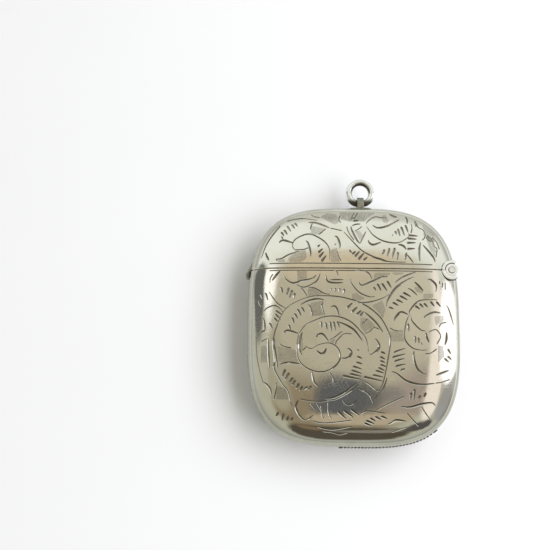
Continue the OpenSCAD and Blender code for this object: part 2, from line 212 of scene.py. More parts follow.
BODY_STROKES: tuple[Stroke, ...] = (
    hair(-17.6, 10.55, -8, 10.55, 4, 10.55, 16.2, 10.55),
    bold(-15.2, 10.45, -15.9, 9.8, -17, 8.3),
    hair(-17.4, 7.9, -17.3, 8.9, -16.7, 9.9),
    bold(-14.35, 9.4, -14.2, 8.8, -12.7, 7.85, -10.8, 8.3, -8.8, 8.8, -7.8, 9.6),
    line(-11.9, 7.6, -11, 7.1, -9.8, 7.1, -7.8, 8.3, -7, 10),
    hair(-11.9, 7.6, -11, 6.9, -10.4, 6.2, -9.7, 5),
    line(-9.5, 7, -8.2, 6.8, -6.2, 5.7, -5, 5.6),
    bold(-5.9, 9.6, -5.8, 8.7, -5.3, 8.1, -4, 7.9, -2.3, 8),
    line(-5.2, 8.55, -3.8, 8.6, -2.2, 8.6),
    hair(-4.1, 10.6, -3.6, 10.2, -3.4, 9.4),
    line(-17.6, 6.2, -16.2, 4.1, -15.3, 3.3, -14, 2.6),
    line(-18.6, 2, -17.9, 2.7, -16.4, 3.2, -15.2, 2.5, -14.6, 1.7),
    bold(-19, 0.9, -18.5, 0.2, -18.4, -1.8, -19.2, -2.4),
    line(-14.9, 1.2, -14, 2.6, -12, 3.9, -9, 5, -5, 5.2, -1.5, 4.7, 2, 3.4, 5, 1, 6.8, -2.2, 7.1, -4,
         6.5, -8, 5.5, -12.4, 4, -15.3, 3.4, -15.9),
    line(-14.9, 1.2, -15.5, 0, -16.6, -4, -16.2, -8, -16.3, -9.7, -14.6, -12.8, -13.6, -14, -12.9, -16.4,
         -12.5, -17.2),
    bold(-11.1, 3.3, -10, 3.9, -8.8, 4.35, -7.5, 4.55, -6.2, 4.4),
    bold(1.9, 2, 3, 1, 4.2, -0.2, 5.7, -2.2),
    bold(-16.3, -3.4, -16.35, -5, -16.1, -6.6, -15.6, -9.6),
    bold(-14.4, -2.8, -14.2, -2.2, -13.6, -1.95, -12.6, -2.2, -11.4, -2.6),
    hair(-15.4, -4.3, -15, -4.9, -14, -5.3, -12.8, -5.5),
    line(-11.4, -2.6, -10, -0.8, -8, 0.2, -6, 0.9, -3.5, 0.95, -1, 0, 1, -1.9, 2.2, -3.6, 2.7, -6.3),
    bold(-3.6, -0.1, -2.4, -0.5, -1.2, -1.1, 0, -2, 1.5, -4),
    bold(-10.6, -2.2, -10.9, -3, -11.3, -5.5, -10.7, -7),
    bold(-4.9, 2.8, -4.4, 3.1, -3.8, 2.8, -3.2, 1),
    line(-6.4, 4.2, -6.7, 3.2, -6.5, 2.2, -6.1, 1.2),
    line(-9.6, 3.6, -9.1, 2.9, -8.8, 1.9, -8.8, 0.6),
    hair(2.6, 0.6, 1.9, -0.1, 1.2, -0.8),
    hair(1.9, -2.4, 2.6, -2.3, 3.9, -1.3, 5, -1.6),
    bold(4, -3.4, 4.5, -4, 4.85, -4.9, 4.6, -5.7, 3.4, -6.65, 2.8, -6.6),
    line(-10.2, -5, -8.8, -5.6, -7.2, -4.8, -5, -4.5, -3.3, -5.8, -3.2, -8, -5, -9.8, -7.2, -10.3,
         -9.6, -9.6, -11.3, -8, -11.8, -5.5, -11.4, -2.6),
    bold(-7.8, -5.9, -7.3, -6.4, -6.7, -6.65, -6.1, -6.2, -5.8, -5.4),
    bold(-7.9, -3.5, -7.6, -2.9, -7, -2.6, -6.4, -2.8, -5.3, -4.2),
    hair(-5.2, -3.9, -4.2, -3.3, -2.8, -2.2, -2.5, -2.3),
    hair(-4, -4.9, -3.7, -4, -2.2, -2.6, -0.6, -2.6),
    bold(-1.7, -5.5, -1.1, -5.7, -0.75, -6.3, -1.1, -7.1, -1.8, -7.5, -2.9, -7.5),
    hair(-10.6, -6, -9.9, -5.3),
    bold(-15.2, -8.9, -14.4, -8.6, -13.2, -8.5, -11, -8.7),
    bold(-8.7, -10.2, -8.5, -11.4, -8.2, -12.4, -7.2, -13.4),
    hair(-5.2, -10.3, -4.6, -11.2, -4.4, -12, -4.5, -13),
    bold(-6.2, -15.6, -4.8, -15.5, -3.4, -15, -2, -14.2, 0.3, -12.3),
    line(-5.8, -15.9, -4, -15.7, -1.2, -14.2, 0.4, -13),
    line(0.3, -13.4, 1.4, -13.9, 2.4, -14.4, 3, -15.2, 3.5, -16.5),
    line(3.5, -16.5, 3.7, -15.8, 5.4, -13.8, 6.4, -11.2),
    line(1.3, -11.9, 2.6, -12.6, 3.6, -13.4, 4.4, -14, 4.8, -13.6),
    hair(-2.6, -15.8, -2, -16.6, -1.2, -16.85, -0.4, -16.5, 0.3, -15.8),
    bold(-11.4, -15.8, -11.9, -17.2, -11.5, -18.4, -10.7, -19.5, -9.9, -19.9),
    line(-9.9, -19.9, -9.2, -19.5, -8.4, -18.8),
    hair(-11.2, -15.7, -9.5, -16, -7, -16.2, -5, -15.9),
    hair(-9, -16.6, -8, -17.8),
    hair(-7.8, -16.4, -6.8, -18),
    hair(-5.5, -16.2, -5.4, -18.3, -4.8, -19.6),
    hair(-6.9, -16.8, -6.7, -18.8, -6.3, -19.6),
    hair(-8.6, -20, -6.6, -20.4, -3.7, -20.2, -0.7, -19.8),
    hair(-7.6, -21.1, -5.6, -21.6, -3.7, -21.6, -0.7, -21),
    hair(-6.6, -22, -4.6, -22.2, -3.1, -22.6, -1.4, -22.2),
    hair(7.2, -22.1, 8.6, -21.6, 10.3, -21),
    bold(-18.5, -12.3, -17.8, -12.8, -17.1, -13.7, -16.8, -14.9),
    hair(-15.8, -12.4, -15.9, -14, -16.3, -16),
    bold(-17.6, -3.4, -17.55, -6, -17.3, -9.6),
    hair(-20.1, -3, -19.9, -6.8, -19.3, -9.9, -18.5, -12.6),
    hair(-19.6, 4.6, -19.5, 3.7, -18.9, 2.9),
    hair(-19, -4.2, -17.8, -3.6),
    line(-0.9, 8.9, -0.6, 7.8, 0.9, 6, 3, 5.1, 4.2, 5.2),
    bold(0.8, 8.3, 1.1, 7.7, 1.7, 7.5, 3.6, 8.3, 5.6, 9.2, 6.8, 9.3),
    line(0.3, 10.6, 1, 10.65, 2.8, 10.1, 3.6, 8.7),
    bold(8.2, 8, 9.2, 8.8, 10.4, 9.5, 12.6, 10.4),
    bold(6.3, 3, 6.8, 4.6, 8.4, 7, 10.6, 8.6, 12.2, 9.4),
    line(7.4, 5.8, 5.4, 4.7, 3, 4, 1, 3.9, -0.8, 4.4),
    line(10.8, 7, 11.6, 6.6, 12.8, 5.5),
    bold(12.2, 8.4, 13, 7.6, 14.1, 6.4),
    bold(14.9, 8.8, 15.6, 8.9, 16.7, 7.8, 16.6, 6.3),
    hair(17.5, 8.7, 17.5, 8),
    hair(18.1, 8.5, 18.1, 7.3),
    hair(18.7, 8.5, 18.65, 6.8),
    line(11, 1.2, 11.2, 2.4, 13, 4.3, 15.6, 4.7, 17, 4.7),
    bold(14, 0.9, 14.6, 1.4, 16.2, 2.1, 17.6, 2),
    line(18.8, 3.8, 19.4, 2.6, 20.3, -0.4),
    bold(7.9, 0.1, 8.3, 1, 9.4, 2, 10.9, 1.5),
    hair(7, -1.2, 7.8, -1.7, 8.8, -1.9, 9.8, -1.9),
    line(10.9, 1.3, 10.2, -0.8, 10, -3.4, 11.4, -5.2, 13.2, -5.7, 14.6, -5.6),
    line(11.3, 1.4, 11.6, 0.2, 13.2, -1.5, 14.4, -1.8),
    bold(10.8, -0.2, 10.8, -1, 10.9, -2),
    bold(14.4, -2, 14.5, -3, 15, -4.2),
    hair(14.9, -2.1, 15.8, -1.6, 16.6, -1.5, 17.4, -2.8, 16.5, -4.5),
    hair(17.1, -1, 17.6, -0.2, 18.8, 0.2),
    bold(18.7, -1.8, 18.6, -3.4, 18.2, -4.6),
    bold(11.9, -5.8, 11.8, -7.2, 12.4, -9.4, 13.8, -10.5, 14.2, -10.3),
    hair(14, -6.4, 15.2, -6.3, 16.6, -5.3),
    bold(7.2, -10.1, 8.2, -10.4, 10.4, -12, 13.2, -12.6, 16, -12.3),
    bold(16.2, -10.7, 17, -10.4, 19, -9.6),
    hair(16, -12.3, 17.6, -12, 19.2, -11.4),
    bold(9, -17, 11, -17.1, 13.6, -16.4, 15.4, -16.2, 16.1, -16.8),
    hair(13.2, -16.9, 13.8, -17.9, 15, -19.6),
    hair(10.2, -18.2, 11.2, -19.3, 12.8, -20.9),
    hair(4.2, -17.8, 6, -16.8, 9.8, -15),
    bold(6.3, -20.6, 7.2, -20.2, 8.2, -19.7, 10.2, -19.9),
    hair(0.8, -18.6, 2.4, -18, 6, -18.4),
) + picks(
    (-15.1, 7.1, -14.8, 5.9), (-13.4, 7, -13.9, 5.5), (-12.7, 6.5, -13.3, 4.9), (-12.2, 5.9, -12.5, 4.7),
    (-4.8, 6.9, -4.9, 6.3), (-3.9, 6.9, -4, 6.1), (-3, 6.9, -3.2, 6.1), (-2.1, 6.8, -2.3, 5.7),
    (-16.2, 2.2, -14.9, 1.3), (-16.3, 1.5, -15.2, 0.4), (-16.5, 0.7, -15.6, -0.3),
    (-17.4, -0.3, -16.8, -1.4), (-19.3, 5.8, -18.8, 4.7), (-13.5, -0.7, -13.1, -1.7),
    (-12.8, 0.8, -12.4, -0.4), (-12.3, 1.6, -11.7, 0.6), (-11.7, 2.5, -11, 1.2), (-10.9, 2.9, -10.3, 1.9),
    (-6.9, 0, -6.8, -1.3), (-6, -0.2, -5.7, -1.6), (-5.1, 0, -4.8, -1.8), (-4.4, 0, -4, -1.7),
    (-3.6, 0, -3.2, -1.2), (-1.7, 2.6, -0.6, 3.7), (-0.7, 1.8, 0.4, 2.9), (0.2, 1.2, 1.2, 2.2),
    (1, 1, 1.7, 2), (5.1, -6.1, 6, -6.5), (4.9, -7.1, 5.9, -7.6), (4.9, -7.9, 5.9, -8.3),
    (4.9, -8.7, 6.1, -9.1), (4.5, -9.3, 5.8, -9.9), (4, -9.9, 5.6, -10.4), (3.4, -10.8, 5.4, -11.2),
    (1.6, -11.2, 5.2, -12), (0.3, -5.7, 0.8, -5.9), (0.3, -7.1, 1.3, -7.5), (0.1, -8.3, 1.3, -8.6),
    (-0.6, -9.1, 1.1, -9.6), (-0.9, -9.9, 1.1, -10.5), (-1.2, -10.6, 1, -11.1), (-2.7, -11, 0.9, -11.7),
    (-14, -9.7, -14.6, -11.2), (-13.2, -10.4, -14, -11.8), (-12.4, -11.4, -13.2, -12.4),
    (-11.9, -11.9, -12.6, -12.9), (-11.2, -12.5, -11.8, -13.6), (-10.5, -13.1, -11.1, -14),
    (-9.5, -13.2, -10.3, -13.9), (-8.7, -13, -9.4, -13.9), (-3.6, -18, -2, -19.4),
    (-2.4, -17.9, -0.6, -19.1), (-1, -17.6, 0.6, -18.7), (-15.3, -18.2, -15.8, -19.1),
    (-14.2, -18.4, -14.6, -19.9), (-13.2, -18.9, -13.7, -20), (-12.4, -19.2, -12.9, -20),
    (3.8, 7.2, 4.3, 6.5), (4.6, 7.9, 5.3, 6.5), (5.5, 8, 6.5, 6.5), (6.6, 8.5, 7.4, 7.1),
    (9.8, 6.1, 11.3, 5.3), (9.1, 5.4, 10.6, 4.6), (8.4, 4.6, 9.7, 4), (7.6, 4, 8.8, 3.4),
    (6.8, 3, 7.8, 2.7), (12.2, 3.4, 13.2, 2.7), (13.1, 3.9, 13.9, 3.1), (14, 4, 14.8, 3.2),
    (15.4, 4.4, 16.2, 3.4), (16.6, 4.4, 17.5, 3.4), (12.1, -2.8, 12.2, -4.1), (12.8, -3.1, 12.9, -4.2),
    (13.4, -4.1, 13.5, -4.6), (7.7, -6.3, 9.8, -5.5), (7.4, -7.3, 9.8, -6.6), (7.8, -8.1, 9.7, -7.5),
    (8, -9.1, 9.9, -8.6), (9, -9.9, 9.9, -9.5), (11.2, -14.1, 10.9, -15.6), (11.9, -13.4, 11.6, -15.6),
    (13.1, -14.7, 12.6, -15.4), (14.2, -14.1, 13.7, -15.1), (1.7, -20.3, 3, -20.8),
    (2, -19.8, 3.6, -20.4), (2.8, -19.3, 3.9, -19.9), (3.8, -19, 5, -19.6), (5, -18.9, 6.2, -19.4),
    (18.8, -5.2, 19.4, -6.2), (18.7, -6.7, 19.5, -7.4), (18, -7.2, 18.9, -7.9), (-18.3, 6, -17.8, 4.5),
)

BODY_GROUNDS: tuple[Ground, ...] = (
    Ground(((-11.8, 10.5), (-9.8, 10.5), (-9.7, 8.5), (-11.7, 8.2))),
    Ground(((-9.7, 6.8), (-8.2, 6.8), (-6.4, 5.7), (-7.5, 5.1), (-9.5, 5))),
    Ground(((-9.2, 3.7), (-6.4, 4.3), (-6.7, 3), (-6.2, 1.2), (-8.6, 1), (-8.9, 2))),
    Ground(((1.2, 0.9), (2.6, 0.7), (4.5, -1.2), (3.8, -1.3), (2.5, -1.9), (2, -2.4), (1, -1))),
    Ground(((-5.3, -3.8), (-4.2, -3.4), (-3.8, -3.9), (-4.6, -4.6))),
    Ground(((-15.6, -5.2), (-12.9, -5.6), (-11.9, -5.9), (-11.6, -8.4), (-14.5, -8.4), (-15.6, -8.2)), 88),
    Ground(((1.3, -11.9), (2.6, -12.6), (3.6, -13.4), (4.6, -13.8), (3, -15.2), (1.4, -13.9))),
    Ground(((-15.8, -13), (-14, -13.6), (-13.3, -15), (-13.6, -15.9), (-15.8, -15.8))),
    Ground(((-19, -5), (-17.8, -5), (-17.8, -8.4), (-19, -8.4)), 88),
    Ground(((-0.6, 5.7), (0.5, 5.9), (1.4, 5.2), (2.4, 4.8), (1, 4.3), (-0.5, 4.5))),
    Ground(((4.2, 10.2), (7.4, 10.2), (6.8, 9.4), (5, 9.1), (3.8, 8.8))),
    Ground(((7, 10.3), (8.5, 9.6), (11.4, 10.3))),
    Ground(((3.4, 3.3), (5.6, 4.4), (6.3, 2.5), (5.6, 0.6), (5, 1.6))),
    Ground(((12, 7.3), (13, 7.4), (14, 6.3), (13.7, 5.9), (12.6, 6.2))),
    Ground(((-11.3, -3), (-10.8, -2.6), (-10.5, -4), (-10.6, -6.2), (-10.9, -6.4), (-11.3, -5.3)), 84),
    Ground(((13.9, 5.9), (16.1, 6), (16.1, 5), (14, 4.8))),
    Ground(((6.6, -1.9), (9.9, -1.9), (9.9, -4), (7, -4.1)), 88),
    Ground(((16.2, 1.3), (18.1, 1.5), (18.2, 0.2), (16.4, -0.6))),
    Ground(((16.9, -4.7), (17.9, -4.7), (18, -7), (16.6, -8.2)), 88),
)


@dataclass(frozen=True)
class CaseForm:
    """The rounded-square form that the shells follow, about the parting plane."""

    half_w: float = 22.0
    half_h: float = 25.0
    half_t: float = 6.025  # Half the thickness, with the flat on the back not yet worn away
    mid_z: float = 5.975  # Height of the parting plane over the table
    plan_power: float = 3.3  # Squareness of the outline
    face_power: float = 4.0  # Squareness of the cross-section

    def inset(self, depth: float) -> CaseForm:
        """Return the form set in by a depth all round."""
        return replace(
            self, half_w=self.half_w - depth, half_h=self.half_h - depth, half_t=self.half_t - depth
        )

    def share(self, x: np.ndarray, y: np.ndarray) -> np.ndarray:
        """Return how far points lie from the middle, as a share of the way to the outline.

        Args:
            x: Places across the case.
            y: Places up the case.

        Returns:
            One share for each point.
        """
        u = np.abs(np.asarray(x) / self.half_w) ** self.plan_power
        v = np.abs(np.asarray(y) / self.half_h) ** self.plan_power
        return (u + v) ** (1 / self.plan_power)

    def rise(self, x: np.ndarray, y: np.ndarray) -> np.ndarray:
        """Return the height of the face over the parting plane."""
        room = np.clip(1 - self.share(x, y) ** self.face_power, 0, None)
        return self.half_t * room ** (1 / self.face_power)

    def side_x(self, y: float) -> float:
        """Return half the width at a height."""
        return self.half_w * (1 - abs(y / self.half_h) ** self.plan_power) ** (1 / self.plan_power)

    def top_y(self, x: float, z: float) -> float:
        """Return how high up the lid's top lies.

        Args:
            x: Place across the case.
            z: Place through the case.

        Returns:
            The height on the form there.
        """
        share = (1 - abs((z - self.mid_z) / self.half_t) ** self.face_power) ** (1 / self.face_power)
        room = share**self.plan_power - abs(x / self.half_w) ** self.plan_power
        return self.half_h * room ** (1 / self.plan_power)

    def plan(self, share: float, turn: np.ndarray) -> np.ndarray:
        """Return points of a loop round the middle.

        Args:
            share: How far out the loop lies, as a share of the outline.
            turn: Angles of the points about the middle.

        Returns:
            One place on the plan for each angle.
        """
        p = self.plan_power
        size = (np.abs(np.cos(turn)) ** p + np.abs(np.sin(turn)) ** p) ** (1 / p)
        x = share * self.half_w * np.cos(turn) / size
        y = share * self.half_h * np.sin(turn) / size
        return np.stack([x, y], 1)

    def turn_at(self, share: float, y: float) -> float:
        """Return the angle at which the loop at a share of the outline crosses a height."""
        part = (y / (share * self.half_h)) ** self.plan_power
        return math.atan((part / (1 - part)) ** (1 / self.plan_power))

    def normals(self, points: np.ndarray) -> np.ndarray:
        """Return the unit normals of the form at points on it.

        Args:
            points: Places in millimetres, one row each.

        Returns:
            One outward unit vector for each place.
        """
        p, q = self.plan_power, self.face_power
        x, y, z = points[:, 0], points[:, 1], points[:, 2] - self.mid_z
        plan = np.abs(x / self.half_w) ** p + np.abs(y / self.half_h) ** p
        lead = plan ** (q / p - 1)
        slope = np.stack(
            [
                lead * np.abs(x / self.half_w) ** (p - 1) * np.sign(x) / self.half_w,
                lead * np.abs(y / self.half_h) ** (p - 1) * np.sign(y) / self.half_h,
                np.abs(z / self.half_t) ** (q - 1) * np.sign(z) / self.half_t,
            ],
            1,
        )
        return slope / np.maximum(np.linalg.norm(slope, axis=1, keepdims=True), TINY)


def smooth_curve(points: np.ndarray, step: float) -> np.ndarray:
    """Return points about a step apart on a smooth curve through the given points.

    Args:
        points: Places that the curve passes through.
        step: Greatest distance from one point to the next.

    Returns:
        The curve's points, with both ends.
    """
    padded = np.vstack([2 * points[0] - points[1], points, 2 * points[-1] - points[-2]])
    out = []
    for a, b, c, d in zip(padded, padded[1:], padded[2:], padded[3:]):
        count = max(1, math.ceil(np.linalg.norm(c - b) / step))
        t = (np.arange(count) / count)[:, None]
        bend = (2 * a - 5 * b + 4 * c - d) * t**2 + (3 * b - 3 * c + d - a) * t**3
        out.append(0.5 * (2 * b + (c - a) * t + bend))
    out.append(points[-1:])
    return np.vstack(out)


# The way that the facets of deep cuts with a painted highlight face, seen from the front

PAINTED_HIGHLIGHT_WAY: Point = (0.5, 0.87)


class Face(Enum):
    """What a face of a shell is, and so which material slot it takes."""

    SKIN = 0
    CUT = 1
    INSIDE = 2
    EDGE = 3
    # A facet of a deep cut that faces one fixed way, given a painted highlight
    BRIGHT = 4


@dataclass
class EngravedPatch:
    """A face of the case laid flat, cut into triangles along the engraving."""

    points: np.ndarray  # Places on the plan
    depth: np.ndarray  # Depth of the cut at each place
    faces: list[tuple[int, ...]]  # Triangles
    outline: list[int]  # Which points make the outline, in its own order
    deep: float = 0.037  # Depth from which a cut has a facet with a painted highlight
    facing: float = 0.4  # Least share of such a facet's slope that lies along the way of the painted highlight

    def kinds(self) -> list[Face]:
        """Return what each triangle is: plain skin, a dark cut or a facet of a deep cut with a painted
        highlight.

        Returns:
            The kinds in the order of the faces.
        """
        kinds = []
        for face in self.faces:
            a, b, c = (self.points[k] for k in face)
            level = self.depth[list(face)]
            kind = Face.CUT if level.max() > 0 else Face.SKIN
            if level.max() > self.deep:
                slope = np.linalg.solve(np.array([b - a, c - a]), level[1:] - level[0])
                if slope @ np.array(PAINTED_HIGHLIGHT_WAY) > self.facing * max(np.linalg.norm(slope), TINY):
                    kind = Face.BRIGHT
            kinds.append(kind)
        return kinds


@dataclass
class Engraver:
    """Cuts strokes into a flat patch."""

    inside: Callable[[np.ndarray], np.ndarray]  # Tells for each place whether a cut may be there
    step: float = 0.26  # Distance from point to point along a cut
    least_steps: int = 6  # Fewest steps along a cut
    least_points: int = 3  # Fewest points of a stretch that is cut
    steepness: float = 0.6  # Depth of a cut for each unit of its half width
    least_depth: float = 0.012  # Depth under which there is no cut
    lean: float = 0.5  # How far a cut's bottom line leans to its facet with the painted highlight, as a share of its half width
    swell_ends: float = 0.35  # Share of its width that a swelling line has at its ends
    swell_power: float = 0.8  # How soon a swelling line widens
    pick_power: float = 0.4  # How late a short cut narrows
    mesh_size: float = 0.75  # Distance between points on the plain skin
    row_pitch: float = 0.866  # Distance between rows of such points, in mesh sizes
    mesh_clear: float = 0.42  # Least distance from such a point to a cut, in mesh sizes
    ground_pitch: float = 0.21  # Distance between the lines of a darkened ground
    ground_width: float = 0.045  # Half the width of such a line
    ground_run_in: float = 1.5  # Length over which such a line widens, in half widths
    ground_least: float = 8.0  # Length of the shortest such line, in half widths

    def ground_lines(self, ground: Ground) -> list[Stroke]:
        """Return the parallel lines that fill one darkened ground.

        Args:
            ground: The ground to fill.

        Returns:
            One fine stroke for each line.
        """
        corners = np.array(ground.corners, float)
        turn = math.radians(ground.angle)
        along = np.array([math.cos(turn), math.sin(turn)])
        across = np.array([-along[1], along[0]])
        reach = corners @ across
        run_in = self.ground_run_in * self.ground_width
        lines = []
        for level in np.arange(reach.min() + self.ground_pitch / 2, reach.max(), self.ground_pitch):
            hits = []
            for a, b in zip(corners, np.roll(corners, -1, axis=0)):
                da, db = a @ across - level, b @ across - level
                if (da < 0) != (db < 0):
                    hits.append(float((a + (b - a) * da / (da - db)) @ along))
            hits.sort()
            for low, high in zip(hits[::2], hits[1::2]):
                if high - low > self.ground_least * self.ground_width:
                    stops = [along * s + across * level for s in (low, low + run_in, high - run_in, high)]
                    lines.append(Stroke(Cut.HAIR, self.ground_width, tuple(tuple(p) for p in stops)))
        return lines

    def runs(self, stroke: Stroke) -> list[tuple[np.ndarray, np.ndarray]]:
        """Return the stretches of a stroke that lie inside.

        Args:
            stroke: The cut to follow.

        Returns:
            The middle line's points of each stretch, with their half widths.
        """
        points = np.array(stroke.points, float)
        if stroke.half_width > self.ground_width:
            length = float(np.linalg.norm(np.diff(points, axis=0), axis=1).sum())
            points = smooth_curve(points, min(self.step, length / self.least_steps))
        way = np.concatenate([[0], np.cumsum(np.linalg.norm(np.diff(points, axis=0), axis=1))])
        t = way / way[-1]
        if stroke.kind is Cut.HAIR:
            width = np.full(len(t), stroke.half_width)
        elif stroke.kind is Cut.SWELL:
            swell = np.sin(math.pi * t) ** self.swell_power
            width = stroke.half_width * (self.swell_ends + (1 - self.swell_ends) * swell)
        else:
            width = stroke.half_width * (1 - t) ** self.pick_power
        keep = self.inside(points)
        out = []
        start = 0
        for k in range(len(points) + 1):
            if k < len(points) and keep[k]:
                continue
            if k - start >= self.least_points:
                here = way[start:k]
                taper = np.minimum(here - here[0], here[-1] - here)
                out.append((points[start:k], np.minimum(width[start:k], taper)))
            start = k + 1
        return out

    def carve(
        self, outline: np.ndarray, strokes: Iterable[Stroke], grounds: Iterable[Ground]
    ) -> EngravedPatch:
        """Cut the strokes into the patch inside an outline.

        Args:
            outline: The closed outline's points in order.
            strokes: Cuts of the engraving.
            grounds: Darkened grounds of the engraving.

        Returns:
            The patch as triangles with a depth at each point.
        """
        strokes = list(strokes) + [cut for ground in grounds for cut in self.ground_lines(ground)]
        runs = [run for stroke in strokes for run in self.runs(stroke)]
        points = [tuple(p) for p in outline]
        edges = [(k, (k + 1) % len(outline)) for k in range(len(outline))]
        for middle, width in runs:
            self._lay_run(middle, width, points, edges)
        tree = self._tree(points)
        for x, y in self._skin_points(outline):
            if tree.find((x, y, 0))[2] > self.mesh_clear * self.mesh_size:
                points.append((x, y))
        flat = [Vector(p) for p in points]
        inside_outline = 1
        merge_distance = 1e-4
        verts, _, faces, origins, _, _ = delaunay_2d_cdt(flat, edges, [], inside_outline, merge_distance)
        place = {given: k for k, given_here in enumerate(origins) for given in given_here}
        plan = np.array([tuple(v) for v in verts])
        border = [place[k] for k in range(len(outline))]
        depth = self._depths(plan, runs)
        depth[border] = 0
        return EngravedPatch(plan, depth, [tuple(f) for f in faces], border)

    @staticmethod
    def _tree(spots: Sequence[Point]) -> kdtree.KDTree:
        """Return a search tree of places, by their number.

        Args:
            spots: The places.

        Returns:
            The tree, ready to search.
        """
        tree = kdtree.KDTree(len(spots))
        for k, (x, y) in enumerate(spots):
            tree.insert((x, y, 0), k)
        tree.balance()
        return tree

    def _lay_run(
        self, middle: np.ndarray, width: np.ndarray, points: list[Point], edges: list[tuple[int, int]]
    ) -> None:
        """Add the two edges and the bottom line of one run to the points and edges.

        Args:
            middle: The run's middle line.
            width: Half widths along it.
            points: Points so far.
            edges: Edges so far.
        """
        way = np.gradient(middle, axis=0)
        way /= np.maximum(np.linalg.norm(way, axis=1, keepdims=True), TINY)
        square = np.stack([-way[:, 1], way[:, 0]], 1)
        side = square * width[:, None]
        first = len(points)
        points.append(tuple(middle[0]))
        points.append(tuple(middle[-1]))
        lean = -self.lean * square @ np.array(PAINTED_HIGHLIGHT_WAY)
        for shift in (np.full(len(middle), -1.0), lean, np.full(len(middle), 1.0)):
            last = first
            for p in (middle + shift[:, None] * side)[1:-1]:
                points.append(tuple(p))
                edges.append((last, len(points) - 1))
                last = len(points) - 1
            edges.append((last, first + 1))

    def _skin_points(self, outline: np.ndarray) -> Iterable[Point]:
        """Yield the points of the plain skin, in staggered rows.

        Args:
            outline: The outline that they lie in.

        Returns:
            The points, row by row.
        """
        low, high = outline.min(0), outline.max(0)
        row = 0
        y = low[1]
        while y < high[1]:
            shift = 0.5 * self.mesh_size * (row % 2)
            xs = np.arange(low[0] + shift, high[0], self.mesh_size)
            spots = np.stack([xs, np.full(len(xs), y)], 1)
            for spot in spots[self.inside(spots)]:
                yield tuple(spot)
            row += 1
            y += self.row_pitch * self.mesh_size

    def _depths(self, plan: np.ndarray, runs: list[tuple[np.ndarray, np.ndarray]]) -> np.ndarray:
        """Return the depth of the deepest cut at each point.

        Args:
            plan: The points.
            runs: The cuts' middle lines with their half widths.

        Returns:
            One depth for each point.
        """
        starts = np.vstack([middle[:-1] for middle, _ in runs])
        ends = np.vstack([middle[1:] for middle, _ in runs])
        w0 = np.concatenate([width[:-1] for _, width in runs])
        w1 = np.concatenate([width[1:] for _, width in runs])
        tree = self._tree((starts + ends) / 2)
        span = ends - starts
        square = np.maximum((span**2).sum(1), TINY**2)
        reach = float(max(w0.max(), w1.max()) + np.sqrt(square.max()) / 2)
        depth = np.zeros(len(plan))
        for k, spot in enumerate(plan):
            near = [i for _, i, _ in tree.find_range((spot[0], spot[1], 0), reach)]
            if near:
                t = np.clip(((spot - starts[near]) * span[near]).sum(1) / square[near], 0, 1)
                away = np.linalg.norm(starts[near] + span[near] * t[:, None] - spot, axis=1)
                room = w0[near] + (w1[near] - w0[near]) * t - away
                depth[k] = max(0.0, self.steepness * float(room.max()))
        depth[depth < self.least_depth] = 0
        return depth


